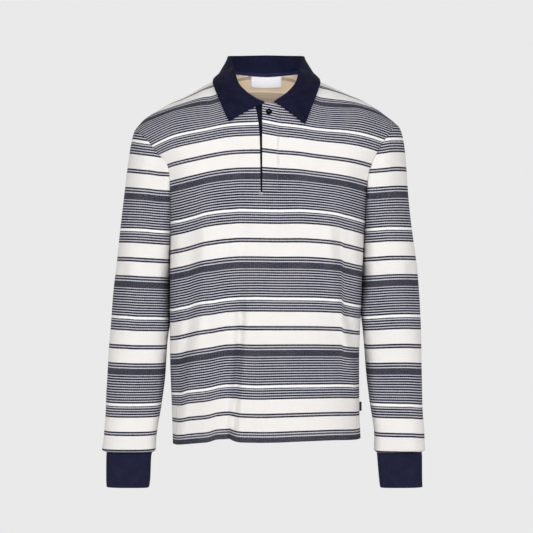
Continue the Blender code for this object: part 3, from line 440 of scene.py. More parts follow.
def stripeRows(face, grid):
    x, z = grid[..., 0], grid[..., 2]
    rows, heights = chartRows(stripeLines, x if face == "front" else stripes["backSpread"] * x, z)
    repeat = stripes["repeat"]
    foot = np.maximum(heights[3] - read(hem, face, x), 1)
    rows = np.where(z < heights[3], 3 * repeat + (heights[3] - z) * stripes["hemRow"] / foot, rows)
    first = clamp(rows / repeat)
    rows = rows + stripes["chestLift"] * 4 * first * (1 - first) * clamp((130 - x) / 80)
    rise = ridgeZ(x) - heights[0]
    share = clamp((z - heights[0]) / np.maximum(rise, 1))
    even = mix(share ** stripes["latePower"], share ** stripes["earlyPower"], stripes["evenShare"])
    closing = mix(share ** stripes["plainPower"], even, read(shoulderLean, "share", x))
    above = rise * share + (read(ridgeRows, "row", np.abs(x)) - rise) * closing
    return np.where(z > heights[0], -above, rows)


# sleeves and cuffs

sleeve = {
    "roundness": 2.3, "innerRoundness": 4.2, "innerSpread": 10,
    "clearance": 1.0, "sideDepth": 60,
    "bulge": {"right": (4.5, 3), "left": (15, 0.5)}, "bulgeFall": 5,
    "capRows": 34, "capCrowding": 1.4,
    "rows": 60, "turnZ": -678,
    "turnLevels": [-682, -686, -688.5, -690.5, -692, -693.2, -694, -694.4],
    "cuffLevels": [-694.8, -704, -760], "cuffWall": 2.2,
}
sleeveSections = {
    "right": table("z inner outer front middle back",
        (-350, -179.4, -278.5, -56, 15, 78), (-385, -178.4, -284, -53, 25, 72),
        (-418, -178.4, -287, -50, 25, 66), (-455, -179.2, -289.3, -46, 22, 60),
        (-475, -182.0, -290.6, -45, 16, 55), (-499, -184.5, -292.6, -44, 13, 52),
        (-554, -187.8, -295.3, -43, 8, 46), (-613, -195.4, -297.6, -42, 3, 40),
        (-667, -204.0, -301.2, -41, -2, 35), (-686, -204.8, -304.0, -41, -3, 34),
        (-690.5, -205.2, -304.6, -40, -3, 33), (-693.2, -208.0, -300.8, -34, -3, 27),
        (-694.4, -211.5, -296.0, -27, -3, 20)),
    "left": table("z inner outer front middle back",
        (-350, 181.2, 281.5, -56, 15, 78), (-385, 178.4, 285.2, -53, 25, 72),
        (-432, 176.6, 288.2, -48, 25, 64), (-455, 179.4, 288.8, -46, 20, 60),
        (-495, 182.8, 289.4, -44, 13, 52), (-545, 186.4, 290, -43, 8, 46),
        (-603, 193.4, 290.8, -42, 3, 40), (-667, 201.4, 294, -41, -2, 35),
        (-686, 200.6, 295.2, -41, -3, 34), (-690.5, 200.7, 295.8, -40, -3, 33),
        (-693.2, 203.2, 292.4, -34, -3, 27), (-694.4, 205.7, 289.5, -27, -3, 20)),
}
cuffSections = {
    "right": table("z inner outer front middle back",
        (-694.8, -211.5, -296.0, -27, -3, 20), (-704, -213.2, -296.8, -25, -3, 18),
        (-745, -215.0, -297.0, -24, -3, 17), (-760, -217.0, -296.2, -23.5, -3, 16.5)),
    "left": table("z inner outer front middle back",
        (-694.8, 205.7, 289.5, -27, -3, 20), (-704, 206.5, 290.0, -25, -3, 18),
        (-745, 210.0, 290.2, -24, -3, 17), (-760, 211.8, 290.8, -23.5, -3, 16.5)),
}
sleeveFolds = {
    # z, turn (0 outer, 90 front, 180 inner, 270 back), height up and down, spread, depth
    "right": [
        (-455, 65, 30, 34, 3), (-500, 125, 26, 30, -3), (-590, 70, 26, 50, 3), (-345, 52, 42, 15, -3.5),
        (-655, 100, 18, 60, 3), (-500, 270, 30, 40, -3)],
    "left": [
        (-440, 140, 34, 20, 4), (-480, 60, 30, 34, 3), (-360, 48, 34, 15, -3.5), (-600, 110, 26, 50, 3),
        (-655, 80, 18, 60, 3), (-500, 270, 30, 40, -3)],
}
# heights of the thin white lines on the sleeves, at the outer side, the middle and the inner side
sleeveLines = {
    "right": table("out one two three four",
        (-1, -117, -281.5, -442, -604), (-0.7, -120, -282, -442.5, -604),
        (-0.4, -122.5, -282.5, -443, -604), (0, -125, -283.5, -444.5, -604),
        (0.5, -128.5, -285.5, -444.8, -603.8), (1, -130, -287, -446, -603)),
    "left": table("out one two three four",
        (-1, -114.5, -280, -441.5, -608.5), (-0.4, -117, -280, -440, -605),
        (0, -120.5, -280, -440.5, -604.5), (0.5, -122.5, -281.5, -442.3, -604),
        (1, -123, -283, -444, -603.6)),
}


def ringTurns(count):
    share = np.arange(count) / count
    spread = np.where(np.abs(share - 0.5) < 0.25, np.sin(4 * math.pi * share), 0)
    return 360 * share + sleeve["innerSpread"] * spread


def ringAt(rows, z, turns):
    inner, outer, front, middle, back = readAll(rows, z)
    innerFront = (turns > 90) & (turns < 180)  # the flatter front beside the body
    power = 2 / np.where(innerFront, sleeve["innerRoundness"], sleeve["roundness"])
    cosine, sine = np.cos(np.radians(turns)), np.sin(np.radians(turns))
    x = mix(inner, outer, 0.5) + (outer - inner) / 2 * np.sign(cosine) * np.abs(cosine) ** power
    y = mix(middle, np.where(sine > 0, front, back), np.abs(sine) ** power)
    return np.column_stack([x, y, np.full_like(x, z)])


def sleeveFold(side, z, turns):
    total = np.zeros_like(turns)
    for foldZ, turn, tall, spread, height in sleeveFolds[side]:
        around = (turns - turn + 180) % 360 - 180
        total += height * math.exp(-((z - foldZ) / tall) ** 2) * np.exp(-(around / spread) ** 2)
    return total[:, None]


def headBulge(side, t):
    # the head is fullest near the armhole, and a little fuller all the way down
    early, whole = sleeve["bulge"][side]
    fall = sleeve["bulgeFall"]
    crest = 1 / (1 + fall)
    return early * (t / crest) * ((1 - t) / (1 - crest)) ** fall + whole * 4 * t * (1 - t)


def clearOfSide(points):
    x, y, z = points.T
    level = np.minimum(z, body["underarmZ"])
    reach = np.zeros_like(x)
    for face, there in (("front", y < 0), ("back", y >= 0)):
        share = roundOff(np.abs(y) / read(bodySections, face, level), body["sideRoundness"][face])
        reach = np.where(there, halfWidth(face, x, level) * share + sleeve["clearance"], reach)
    near = (np.abs(x) < reach) & (np.abs(y) < sleeve["sideDepth"])
    return np.column_stack([np.where(near, np.sign(x) * reach, x), y, z])


def sleeveGrid(side, armholeRing):
    rows = sleeveSections[side]
    turns = ringTurns(len(armholeRing))
    top = rows["z"][-1]
    upper = ringAt(rows, top, turns)
    grid = [armholeRing]
    outerShare = (0.5 + 0.5 * np.cos(np.radians(turns)))[:, None]
    for row in range(1, sleeve["capRows"]):
        t = (row / sleeve["capRows"]) ** sleeve["capCrowding"]
        ring = mix(armholeRing, upper, t)
        ring = ring + unit(ring - ring.mean(axis=0)) * headBulge(side, t) * outerShare
        grid.append(clearOfSide(ring))
    for z in [*np.linspace(top, sleeve["turnZ"], sleeve["rows"]), *sleeve["turnLevels"]]:
        ring = ringAt(rows, z, turns)
        grid.append(clearOfSide(ring + unit(ring - ring.mean(axis=0)) * sleeveFold(side, z, turns)))
    return np.array(grid)


def sleeveRows(side, grid):
    # stripe rows run level round the arm, a little lower at its middle
    x, z = grid[..., 0], grid[..., 2]
    half = (x.max(axis=1) - x.min(axis=1))[:, None] / 2
    out = -signs[side] * (x - x.mean(axis=1, keepdims=True)) / half
    rows, heights = chartRows(sleeveLines[side], out, z)
    low = 3 * stripes["repeat"] + (heights[3] - z) * stripes["sleeveFoot"][side]
    return np.where(z < heights[3], low, rows)


# the collar

collar = {
    "wall": 2.0, "frontX": 5.4, "backX": 0.5,
    "end": 0.2, "tipReach": 0.3, "tipDrop": {"right": 0, "left": 5.5},
    "foldRadius": 3.2, "endRadius": 2.4,
    "leafBulge": 3.0, "leafClearance": 3.6, "leafByStand": 1.3,
    "lowestZ": -160, "halvings": 24,
    "standRows": 10, "foldRows": 12, "leafRows": 20,
    "tapeHeight": 8, "tapeWall": 0.8,
}
collarStations = table("along foldRight foldLeft foldY foldZ edgeRight edgeLeft edgeY edgeZ",
    (0.00, 7.5, 8.5, -96.5, -52.5, 72.2, 65, -106, -89),
    (0.10, 16.5, 20.5, -93, -47, 74.5, 76, -100, -75), (0.20, 35.5, 39, -77, -33, 80.5, 82.5, -92, -60),
    (0.30, 50.5, 53, -54, -14.5, 88.5, 90.5, -77, -41), (0.40, 55.5, 58, -28, 2, 96.5, 98, -58, -20),
    (0.45, 57.5, 60, -15, 11, 99, 100, -42, -11.5), (0.50, 60, 62, 0, 20, 98.5, 99, -12, -2.5),
    (0.66, 68.5, 68.5, 30, 39.5, 95, 95, 42, -6), (0.76, 71, 70, 46, 46, 80, 80, 72, -8),
    (0.88, 42, 42, 66, 49, 46, 46, 90, -4), (1.00, 0, 0, 72, 50.5, 0, 0, 97, -2))


def liftOffBody(points):
    # moves points out until they clear the body, by its level and its height at each
    x, y, z = points.T

    def surface(level):
        return np.where(y < 0, -bodyY("front", x, level), bodyY("back", x, level))
    low, high = np.full_like(x, collar["lowestZ"]), ridgeZ(x)
    for _ in range(collar["halvings"]):
        level = mix(low, high, 0.5)
        deeper = surface(level) > np.abs(y)
        low, high = np.where(deeper, level, low), np.where(deeper, high, level)
    tiny = 1e-6
    beyond, above = (np.where(np.abs(v) < tiny, tiny, v) for v in (np.abs(y) - surface(z), z - high))
    distance = np.abs(beyond * above) / np.hypot(beyond, above)
    back, up = distance / np.abs(beyond), distance / np.abs(above)
    distance = np.where((beyond < 0) & (above < 0), -distance, distance)
    push = np.maximum(collar["leafClearance"] - distance, 0)
    return np.column_stack([x, y + np.sign(y) * back * push, z + up * push])


def collarRib(seam, fold, edge, run, radius):
    # stand, fold and leaf at one station
    crest = -unit(unit(seam - fold) + unit(edge - fold))
    out = unit(np.cross(crest, run))
    crest = unit(np.cross(run, out))
    centre = fold - crest * radius
    turns = np.linspace(-math.pi / 2, math.pi / 2, collar["foldRows"] + 1)[:, None]
    arc = centre + radius * (crest * np.cos(turns) + out * np.sin(turns))
    stand = mix(seam, arc[0], evenShares(collar["standRows"])[:-1, None])
    seamDepth = max(-np.dot(seam - centre, crest), radius)
    seamOut = np.dot(seam - centre, out)
    t = evenShares(collar["leafRows"])[1:, None]
    leaf = mix(arc[-1], edge, t) + out * collar["leafBulge"] * 4 * t * (1 - t)
    depth = -(leaf - centre) @ crest / seamDepth
    behind = mix(-radius, seamOut, np.minimum(depth, 1)) + 2 * radius
    push = np.where(depth < collar["leafByStand"], np.maximum(behind - (leaf - centre) @ out, 0), 0)
    return np.concatenate([stand, arc, liftOffBody(leaf + out * push[:, None])])


def collarGrid(seam):
    place = np.linspace(-1, 1, len(seam))
    along, side = 1 - np.abs(place), np.where(place <= 0, -1, 1)
    middle = mix(collar["frontX"], collar["backX"], clamp(2 * along / collar["end"]))
    drop = np.where(side > 0, collar["tipDrop"]["left"], collar["tipDrop"]["right"])
    drop = drop * clamp(1 - along / collar["tipReach"])

    def line(name, drop):
        right, left, y, z = (read(collarStations, name + end, along) for end in ("Right", "Left", "Y", "Z"))
        return np.column_stack([middle + side * np.where(side > 0, left, right), y, z - drop])
    foldLine, edgeLine = line("fold", 0), line("edge", drop)
    radii = mix(collar["endRadius"], collar["foldRadius"], clamp(along / collar["end"]))
    stations = zip(seam, foldLine, edgeLine, unit(alongRow(foldLine, 0)), radii)
    return np.array([collarRib(*station) for station in stations]).transpose(1, 0, 2)


# shader maths as Python expressions

class Wire:
    def __init__(self, shade, socket):
        self.shade = shade
        self.socket = socket

    def math(self, operation, *others):
        inputs = dict(enumerate((self,) + others))
        return self.shade.node("ShaderNodeMath", {"operation": operation}, inputs)

    def __add__(self, other):
        return self.math("ADD", other)

    def __sub__(self, other):
        return self.math("SUBTRACT", other)

    def __mul__(self, other):
        return self.math("MULTIPLY", other)

    def __truediv__(self, other):
        return self.math("DIVIDE", other)

    __radd__ = __add__
    __rmul__ = __mul__

    def __rsub__(self, other):
        return self.shade.node("ShaderNodeMath", {"operation": "SUBTRACT"}, {0: other, 1: self})

    def __abs__(self):
        return self.math("ABSOLUTE")

    def wrap(self, length):
        return (self / length).math("FRACT") * length

    def wave(self, length):
        # 0 to 1 and back over a length
        return 0.5 + 0.5 * (self * (2 * math.pi / length)).math("SINE")

    def between(self, low, high, soft):
        # 1 inside a span, with soft ends
        return self.ramp(low - soft, low + soft) * (1 - self.ramp(high - soft, high + soft))

    def ramp(self, low, high, lowValue=0.0, highValue=1.0):
        sockets = {"Value": self, "From Min": low, "From Max": high, "To Min": lowValue, "To Max": highValue}
        return self.shade.node("ShaderNodeMapRange", {"interpolation_type": "SMOOTHSTEP"}, sockets)


class Shade:
    # a Principled material, with its constants set on the shader's own sockets
    def __init__(self, name, colour, roughness, **constants):
        self.material = bpy.data.materials.new(name)
        self.material.use_nodes = True
        self.tree = self.material.node_tree
        self.shader = self.tree.nodes["Principled BSDF"]
        self.material.diffuse_color = colour + (1,)
        self.shader.inputs["Base Color"].default_value = colour + (1,)
        self.shader.inputs["Roughness"].default_value = roughness
        for socket, value in constants.items():
            self.shader.inputs[socket.replace("_", " ")].default_value = value

    def node(self, kind, settings=None, sockets=None, output=0):
        made = self.tree.nodes.new(kind)
        for key, value in (settings or {}).items():
            setattr(made, key, value)
        for key, value in (sockets or {}).items():
            self.feed(made.inputs[key], value)
        return Wire(self, made.outputs[output])

    def feed(self, socket, value):
        if isinstance(value, Wire):
            self.tree.links.new(value.socket, socket)
        elif socket.type == "RGBA":
            socket.default_value = tuple(value) + (1,)
        else:
            socket.default_value = value

    def blend(self, factor, first, second):
        settings = {"data_type": "RGBA"}
        return self.node("ShaderNodeMix", settings, {0: factor, 6: first, 7: second}, output=2)

    def clothPlace(self):
        # millimetres across the cloth and down it
        uv = self.node("ShaderNodeUVMap", {"uv_map": "cloth"})
        parts = self.node("ShaderNodeSeparateXYZ", None, {0: uv})
        return parts, Wire(self, parts.socket.node.outputs[1])

    def noise(self, x, y, detail):
        place = self.node("ShaderNodeCombineXYZ", None, {0: x, 1: y})
        settings = {"noise_dimensions": "2D"}
        return self.node("ShaderNodeTexNoise", settings, {"Vector": place, "Scale": 1.0, "Detail": detail})

    def speckle(self, scale, detail):
        # noise in the object's own space, for what has no cloth map
        place = self.node("ShaderNodeTexCoord", output=3)
        return self.node("ShaderNodeTexNoise", None, {"Vector": place, "Scale": scale, "Detail": detail})

    def bump(self, height, distance, strength):
        sockets = {"Height": height, "Distance": distance, "Strength": strength}
        self.feed(self.shader.inputs["Normal"], self.node("ShaderNodeBump", None, sockets))

    def colour(self, factor, first, second):
        self.feed(self.shader.inputs["Base Color"], self.blend(factor, first, second))


def rgb(red, green, blue):
    # a colour as a screen shows it, made linear
    return tuple(((v / 255 + 0.055) / 1.055) ** 2.4 if v > 10 else v / 3295 for v in (red, green, blue))


knit = {
    "white": rgb(245, 242, 239),
    "bright": rgb(255, 255, 254),
    "grey": rgb(226, 226, 233),
    "greyShade": rgb(192, 192, 204),
    "line": rgb(21, 24, 45),
    "band": rgb(27, 28, 47),
    "cloud": rgb(205, 190, 180),
    "cream": rgb(250, 230, 197),
    "creamDark": rgb(178, 161, 146),
    "firstRow": 3.5,  # the chart below starts this far down from the thin white line
    "lineWidth": 3.1, "uneven": 0.7, "bead": 3.6,
    "wale": 1.3, "course": 1.18, "rib": 4.7,
}
# groups of thin dark lines in one repeat: the first line, how many, and their spacing
lineGroups = [(0.4, 5, 4.73), (47.9, 2, 4.8), (80.9, 2, 4.9), (104.1, 11, 4.665)]
lineZones = [(-1, 20.4), (47, 53.6), (80, 102), (102, 152.6)]
solidBand = (89.2, 101.2)
brightLine = (152.8, 156.1)


def stripeMasks(shade, down, across, softness):
    uneven = (shade.noise(across * 0.9, down * 0.35, 1.0) - 0.5) * knit["uneven"]
    place = (down + uneven - knit["firstRow"] + stripes["repeat"] * 2).wrap(stripes["repeat"])
    half = knit["lineWidth"] / 2
    lines = zones = None
    for first, count, pitch in lineGroups:
        steps = ((place - first) / pitch).math("ROUND").math("MAXIMUM", 0).math("MINIMUM", count - 1)
        mask = 1 - abs(place - first - steps * pitch).ramp(half - softness, half + softness)
        lines = lines.math("MAXIMUM", mask) if lines else mask
    for low, high in lineZones:
        zone = place.between(low, high, softness)
        zones = zones + zone if zones else zone
    return lines, zones, place.between(*solidBand, softness), place.between(*brightLine, softness)


print("materials")
shade = stripedCloth = Shade("striped knit", knit["white"], 0.95, Sheen_Weight=0.015, Sheen_Roughness=0.5,
                             Specular_IOR_Level=0.06)
across, down = shade.clothPlace()
lines, zones, band, bright = stripeMasks(shade, down, across, 0.35)
fleck = shade.noise(across * 0.55, down * 0.8, 3.0)
base = shade.blend(bright, knit["white"], knit["bright"])
beads = shade.blend(across.wave(knit["bead"]), knit["greyShade"], knit["grey"])
base = shade.blend(zones, base, beads)
base = shade.blend(lines * fleck.ramp(0.1, 0.5, 0.86, 1.0), base, knit["line"])
base = shade.blend(band * fleck.ramp(0.36, 0.66, 1.0, 0.87), base, knit["band"])
cloud = shade.noise(across * 0.02, down * 0.02, 2.0).ramp(0.3, 0.7, 0.0, 0.035)
shade.colour(cloud, base, knit["cloud"])
# rows of V stitches, their columns, and a soft rib over every fourth row
column = (across / knit["wale"]).math("FRACT") - 0.5
stitch = (down + abs(column) * 1.1 * knit["course"]).wave(knit["course"])
relief = 0.35 * stitch + 0.45 * (1 - 4 * column * column) + 0.5 * down.wave(knit["rib"])
wrinkle = shade.noise(across * 0.034, down * 0.007, 2.0)
shade.bump(relief * 0.35 + wrinkle * 3.2, mm, 0.6)

shade = Shade("knit reverse", knit["cream"], 0.95, Sheen_Weight=0.1, Specular_IOR_Level=0.2)
across, down = shade.clothPlace()
lines, zones, band, _ = stripeMasks(shade, down, across, 0.8)
dark = (zones * 0.7 + band * 0.3 + lines * 0.15).math("MINIMUM", 1)
shade.colour(dark, knit["cream"], knit["creamDark"])
rows = down.wave(knit["course"]) * 0.6 + across.wave(knit["wale"]) * 0.4
shade.bump(rows, 0.3 * mm, 0.6)
bothCloths = stripedCloth, shade


def navyKnit(name, colour, wale, depth):
    shade = Shade(name, colour, 0.9, Sheen_Weight=0.015, Sheen_Roughness=0.4, Specular_IOR_Level=0.08)
    across, down = shade.clothPlace()
    worn = shade.noise(across * 0.05, down * 0.05, 3.0).ramp(0.3, 0.7, 0.0, 0.5)
    fleck = shade.noise(across * 0.8, down * 0.5, 2.0).ramp(0.3, 0.8, 0.0, 0.35)
    shade.colour(worn + fleck, colour, tuple(1.35 * v + 0.004 for v in colour))
    groove = across.wave(wale)
    shade.bump(groove * 0.7 + (down + groove * 0.5).wave(1.2) * 0.3, depth * mm, 0.7)
    return shade


collarCloth = navyKnit("navy flat knit", rgb(16, 18, 40), 1.5, 0.3)
cuffCloth = navyKnit("navy rib knit", rgb(29, 30, 54), 2.4, 0.6)
# the placket's facing: navy cloth, painted darker than the collar's navy as the shade inside the slit
facingWithPaintedShade = navyKnit("placket facing with painted shade", rgb(9, 11, 27), 1.5, 0.3)
tapeCloth = navyKnit("navy tape", rgb(30, 31, 58), 0.8, 0.12)

satin = rgb(229, 228, 234)
shade = labelCloth = Shade("label satin", satin, 0.55, Sheen_Weight=0.2, Specular_IOR_Level=0.5)
across, down = shade.clothPlace()
shade.colour(abs(across).ramp(27.0, 27.6) * 0.5, satin, rgb(206, 205, 216))
weft = (down + across.wave(1.6) * 0.2).wave(0.5)
shade.bump(weft * 0.6 + across.wave(0.9) * 0.4, 0.12 * mm, 0.6)

shade = tabCloth = Shade("tab ribbon", rgb(26, 26, 30), 0.7, Sheen_Weight=0.1)
across, down = shade.clothPlace()
shade.bump((down + across).wave(0.7), 0.15 * mm, 0.6)

shade = buttonResin = Shade("button resin", rgb(7, 7, 15), 0.22, Specular_IOR_Level=0.05)
shade.colour(shade.speckle(350.0, 3.0).ramp(0.35, 0.7), rgb(1, 1, 5), rgb(12, 12, 22))


def threadOf(name, colour):
    shade = Shade(name, colour, 0.6, Sheen_Weight=0.2)
    shade.colour(shade.speckle(2500.0, 1.0).ramp(0.3, 0.7), colour, tuple(0.75 * v for v in colour))
    return shade


paleThread = threadOf("pale thread", rgb(222, 224, 232))
greyThread = threadOf("grey thread", rgb(150, 150, 166))
darkThread = threadOf("navy thread", rgb(30, 31, 52))

print("body panels")
count = weave["neck"] + weave["shoulder"]
below, above = weave["below"], weave["above"]
slitColumn, seamColumn = count, count + weave["slit"]
right = halfPanel("front", "right", lambda z: read(slitEdge, "x", z))
left = halfPanel("front", "left", lambda z: placket["seamX"])
between = evenShares(weave["slit"])[1:-1, None]
strip = mix(right[:, None, 0], left[:, None, 0], between)
front = onBody("front", *np.concatenate([right[:, ::-1], strip, left], axis=1).transpose(2, 0, 1))
right, left = (halfPanel("back", side, lambda z: 0.0) for side in ("right", "left"))
back = onBody("back", *np.concatenate([left[:, ::-1], right[:, 1:]], axis=1).transpose(2, 0, 1))
grids = {"front": front, "back": back}
outs = {face: normalsOf(grid) for face, grid in grids.items()}
sides = slice(0, below + 1)
first = slice(0, weave["shoulder"] + 1)
last = slice(-1, -weave["shoulder"] - 2, -1)
for frontPlace, backPlace in (((sides, 0), (sides, -1)), ((sides, -1), (sides, 0)),
                              ((-1, first), (-1, last)), ((-1, last), (-1, first))):
    shared = unit(outs["front"][frontPlace] + outs["back"][backPlace])
    outs["front"][frontPlace] = shared
    outs["back"][backPlace] = shared

print("sleeves and cuffs")
for side, frontColumn, backColumn in (("right", 0, -1), ("left", -1, 0)):
    facing = signs[side]
    seam = [("front", range(below + above, below - 1, -1), frontColumn),
            ("back", range(below + 1, below + above), backColumn)]
    grid, out = sewOn(lambda ring: sleeveGrid(side, ring), seam,
                      {0: (-1, backColumn), above: (below, backColumn)}, closed=True, facing=facing)
    uv = clothMap(grid, sleeveRows(side, grid), closed=True)
    makeWall("sleeve_" + side, grid, grid - out * body["wall"], uv, *bothCloths,
             closed=True, facing=facing, free=lambda row, column: row > 0)
    top, turn, end = sleeve["cuffLevels"]
    levels = [*np.linspace(top, turn, 8), *np.linspace(turn, end, 24)[1:]]
    cuff = np.array([ringAt(cuffSections[side], z, ringTurns(grid.shape[1])) for z in levels])
    cuffOut = unit(normalsOf(cuff, closed=True, facing=facing) * (1, 1, 0))
    makeWall("cuff_" + side, cuff, cuff - cuffOut * sleeve["cuffWall"], clothMap(cuff, closed=True),
             cuffCloth, closed=True, facing=facing)

print("collar")
seam = [("front", -1, range(count, weave["shoulder"] - 1, -1)),
        ("back", -1, range(2 * count - weave["shoulder"] - 1, weave["shoulder"], -1)),
        ("front", -1, range(seamColumn + weave["neck"], seamColumn - 1, -1))]
corners = {weave["neck"]: (-1, 2 * count - weave["shoulder"]), -weave["neck"] - 1: (-1, weave["shoulder"])}
grid, out = sewOn(collarGrid, seam, corners, keepSide=-1)
makeWall("collar", grid, grid - out * collar["wall"], clothMap(grid), collarCloth)

backHalf = slice(weave["neck"], -weave["neck"])
stand = unit(grid[collar["standRows"], backHalf] - grid[0, backHalf])
towardNeck = out[1, backHalf]
base = grid[0, backHalf] + towardNeck * body["seamGap"]
tape = np.array([base + stand * height for height in np.linspace(0.3, collar["tapeHeight"], 6)])
makeWall("neck_tape", tape + towardNeck * collar["tapeWall"], tape, clothMap(tape), tapeCloth)

print("neck label")
label = {"halfWidth": 28.5, "height": 20, "offset": 1.0, "hang": 2.5, "wall": 0.6}
neckBack = grid[0, backHalf]
neckBack = neckBack[np.argsort(neckBack[:, 0])].T
labelX = np.linspace(-label["halfWidth"], label["halfWidth"], 25) + collar["backX"]
labelY = np.interp(labelX, neckBack[0], neckBack[1]) - label["offset"]
labelZ = np.interp(labelX, neckBack[0], neckBack[2]) - body["seamGap"]
grid = np.array([np.column_stack([labelX, labelY + label["hang"] * low ** 2, labelZ - label["height"] * low])
                 for low in np.linspace(1, 0, 11)])
makeWall("neck_label", grid, grid + (0, label["wall"], 0), clothMap(grid), labelCloth)

print("front, back and plackets")
slitRow = int(np.argmax(front[:, slitColumn, 2] > placket["slitBottomZ"]))
absent = np.zeros(front.shape[:2], bool)
absent[slitRow:, slitColumn:seamColumn] = True
for face, hole, free in (("front", absent, lambda row, column: row == 0 or column == slitColumn),
                         ("back", None, lambda row, column: row == 0)):
    uv = clothMap(grids[face], stripeRows(face, grids[face]))
    makeWall(face, grids[face], grids[face] - outs[face] * body["wall"], uv, *bothCloths,
             absent=hole, free=free)
leftEdge, rightEdge = front[slitRow:, slitColumn, :, None], front[slitRow:, seamColumn, :, None]
reach = rightEdge[:, 0] - body["seamGap"]
lift = body["seamGap"] * (np.arange(len(reach)) == 0)[:, None]
topShare = clamp((np.arange(len(reach)) + 1 - len(reach)) / placket["topRows"] + 1)[:, None]


def placketGrid(start, end):
    x = mix(start, end, evenShares(placket["columns"]))
    z = mix(leftEdge[:, 2], rightEdge[:, 2], (x - leftEdge[:, 0]) / (rightEdge - leftEdge)[:, 0]) + lift
    drop = body["seamGap"] + placket["shoulder"] * clamp(x / placket["seamX"])
    return onBody("front", x, z - drop * topShare)


top = placketGrid(placket["edgeX"], reach)
under = placketGrid(leftEdge[:, 0] - placket["underLap"], reach - placket["underInset"])
topOut, underOut = normalsOf(top), normalsOf(under)
edgeShare = 1 - (top[..., 0] - placket["edgeX"]) / (placket["seamX"] - placket["edgeX"])
edgeLift = placket["stripeLift"] * edgeShare * clamp((top[..., 2] - placket["slitBottomZ"] - 20) / 100)
uv = clothMap(top, stripeRows("front", top) + edgeLift)
inward = placket["wall"] - placket["proud"]
makeWall("placket_top", top + topOut * placket["proud"], top - topOut * inward, uv,
         *bothCloths, free=lambda row, column: column == 0)
behind = body["wall"] + placket["underGap"]
makeWall("placket_under", under - underOut * behind, under - underOut * (behind + body["wall"]),
         clothMap(under), facingWithPaintedShade)

print("side tab")
tab = {"topZ": -602, "height": 17, "reach": 4.6, "wall": 1.2}
grid = []
for z in tab["topZ"] - tab["height"] * (1 - evenShares(7)):
    start = halfWidth("front", 1, z) + body["seamGap"]
    grid.append([(start + tab["reach"] * share, -tab["wall"] / 2 * thick, z)
                 for share, thick in ((0, 1), (0.4, 1), (0.75, 1), (1, 0.6))])
grid = np.array(grid, float)
makeWall("side_tab", grid, grid * (1, -1, 1), clothMap(grid), tabCloth)

print("button")
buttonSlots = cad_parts["button"].data.materials
buttonSlots.clear()
buttonSlots.append(buttonResin.material)

print("stitches")
sewing = {
    "begin": 0.3,
    "sink": 0.7,  # a stitch's ends lie in the cloth by this share of its thickness
    "hemRows": (9.5, 13), "hemReach": 166,
    "sideRows": ((-163.5, -598), (165.5, -560)), "sideBottom": -655,
    "placketInset": 2.4, "placketTop": -84, "tackX": (-13.5, -4),
    "holeX": (-4.6, -0.8), "holeZ": -71.3,
}


def sew(name, paths, thread, pitch=2.9, stitch=2.1, width=0.55):
    # short raised stitches along paths, each of points and their outward directions
    vertices, faces = [], []
    for points, out in paths:
        lengths = lengthsAlong(points)

        def at(values, length):
            return np.array([np.interp(length, lengths, values[:, axis]) for axis in range(3)])
        for begin in np.arange(sewing["begin"], lengths[-1] - stitch, pitch):
            places = [at(points, begin + share * stitch) for share in (0, 0.5, 1)]
            up = unit(at(out, begin + stitch / 2)) * width / 2
            aside = np.cross(unit(places[2] - places[0]), up)
            first = len(vertices)
            for place, rise in zip(places, (-1, 1, -1)):
                centre = place + up * sewing["sink"] * rise
                vertices += [centre + aside, centre + up, centre - aside, centre - up]
            for ring in (first, first + 4):
                for k in range(4):
                    after = (k + 1) % 4
                    faces.append([ring + k, ring + 4 + k, ring + 4 + after, ring + after])
            faces += [[first + k for k in end] for end in ((0, 1, 2, 3), (11, 10, 9, 8))]
    mesh = bpy.data.meshes.new("stitches")
    mesh.from_pydata((np.array(vertices) * mm).tolist(), [], faces)
    mesh.shade_smooth()
    mesh.materials.append(thread.material)
    stitches = addObject("stitches", mesh)
    bpy.ops.object.select_all(action="DESELECT")
    stitches.select_set(True)
    pieces[name].select_set(True)
    bpy.context.view_layer.objects.active = pieces[name]
    bpy.ops.object.join()


def bodyPath(face, x, z, lift=0):
    # a path on the body and its outward directions
    low, high = onBody(face, x, z), onBody(face, x, z + 1)
    out = unit(np.cross(onBody(face, x + 1, z) - low, high - low)) * (1 if face == "front" else -1)
    return low + out * lift, out


def placketPath(x, z):
    return bodyPath("front", x, z, placket["proud"])


hemSpan = np.linspace(-sewing["hemReach"], sewing["hemReach"], 240)
for face in ("front", "back"):
    rows = [bodyPath(face, hemSpan, read(hem, face, hemSpan) + height) for height in sewing["hemRows"]]
    sew(face, rows, greyThread, width=0.7)
for x, top in sewing["sideRows"]:
    sew("front", [bodyPath("front", x, np.linspace(sewing["sideBottom"], top, 40))], greyThread)
seamZ = np.linspace(placket["slitBottomZ"] + 2, sewing["placketTop"], 80)
sew("placket_top", [placketPath(placket["seamX"] - sewing["placketInset"], seamZ)], greyThread)
tackX = np.linspace(*sewing["tackX"], 8)
tacks = [placketPath(tackX, placket["slitBottomZ"] + low) for low in (-1, 0.6, 2.2)]
sew("front", tacks, paleThread, pitch=1.9, stitch=1.8, width=0.9)
tapeEdge = tape[0] - (tape[1] - tape[0]) * 0.15 + towardNeck * collar["tapeWall"] / 2
sew("neck_tape", [(tapeEdge, towardNeck)], paleThread, pitch=2.0, stitch=1.9, width=0.8)
holeX = np.linspace(*sewing["holeX"], 6)
buttonhole = [placketPath(holeX, sewing["holeZ"] + low) for low in (-0.6, 0.6)]
sew("placket_top", buttonhole, darkThread, pitch=0.8, stitch=0.75, width=0.7)


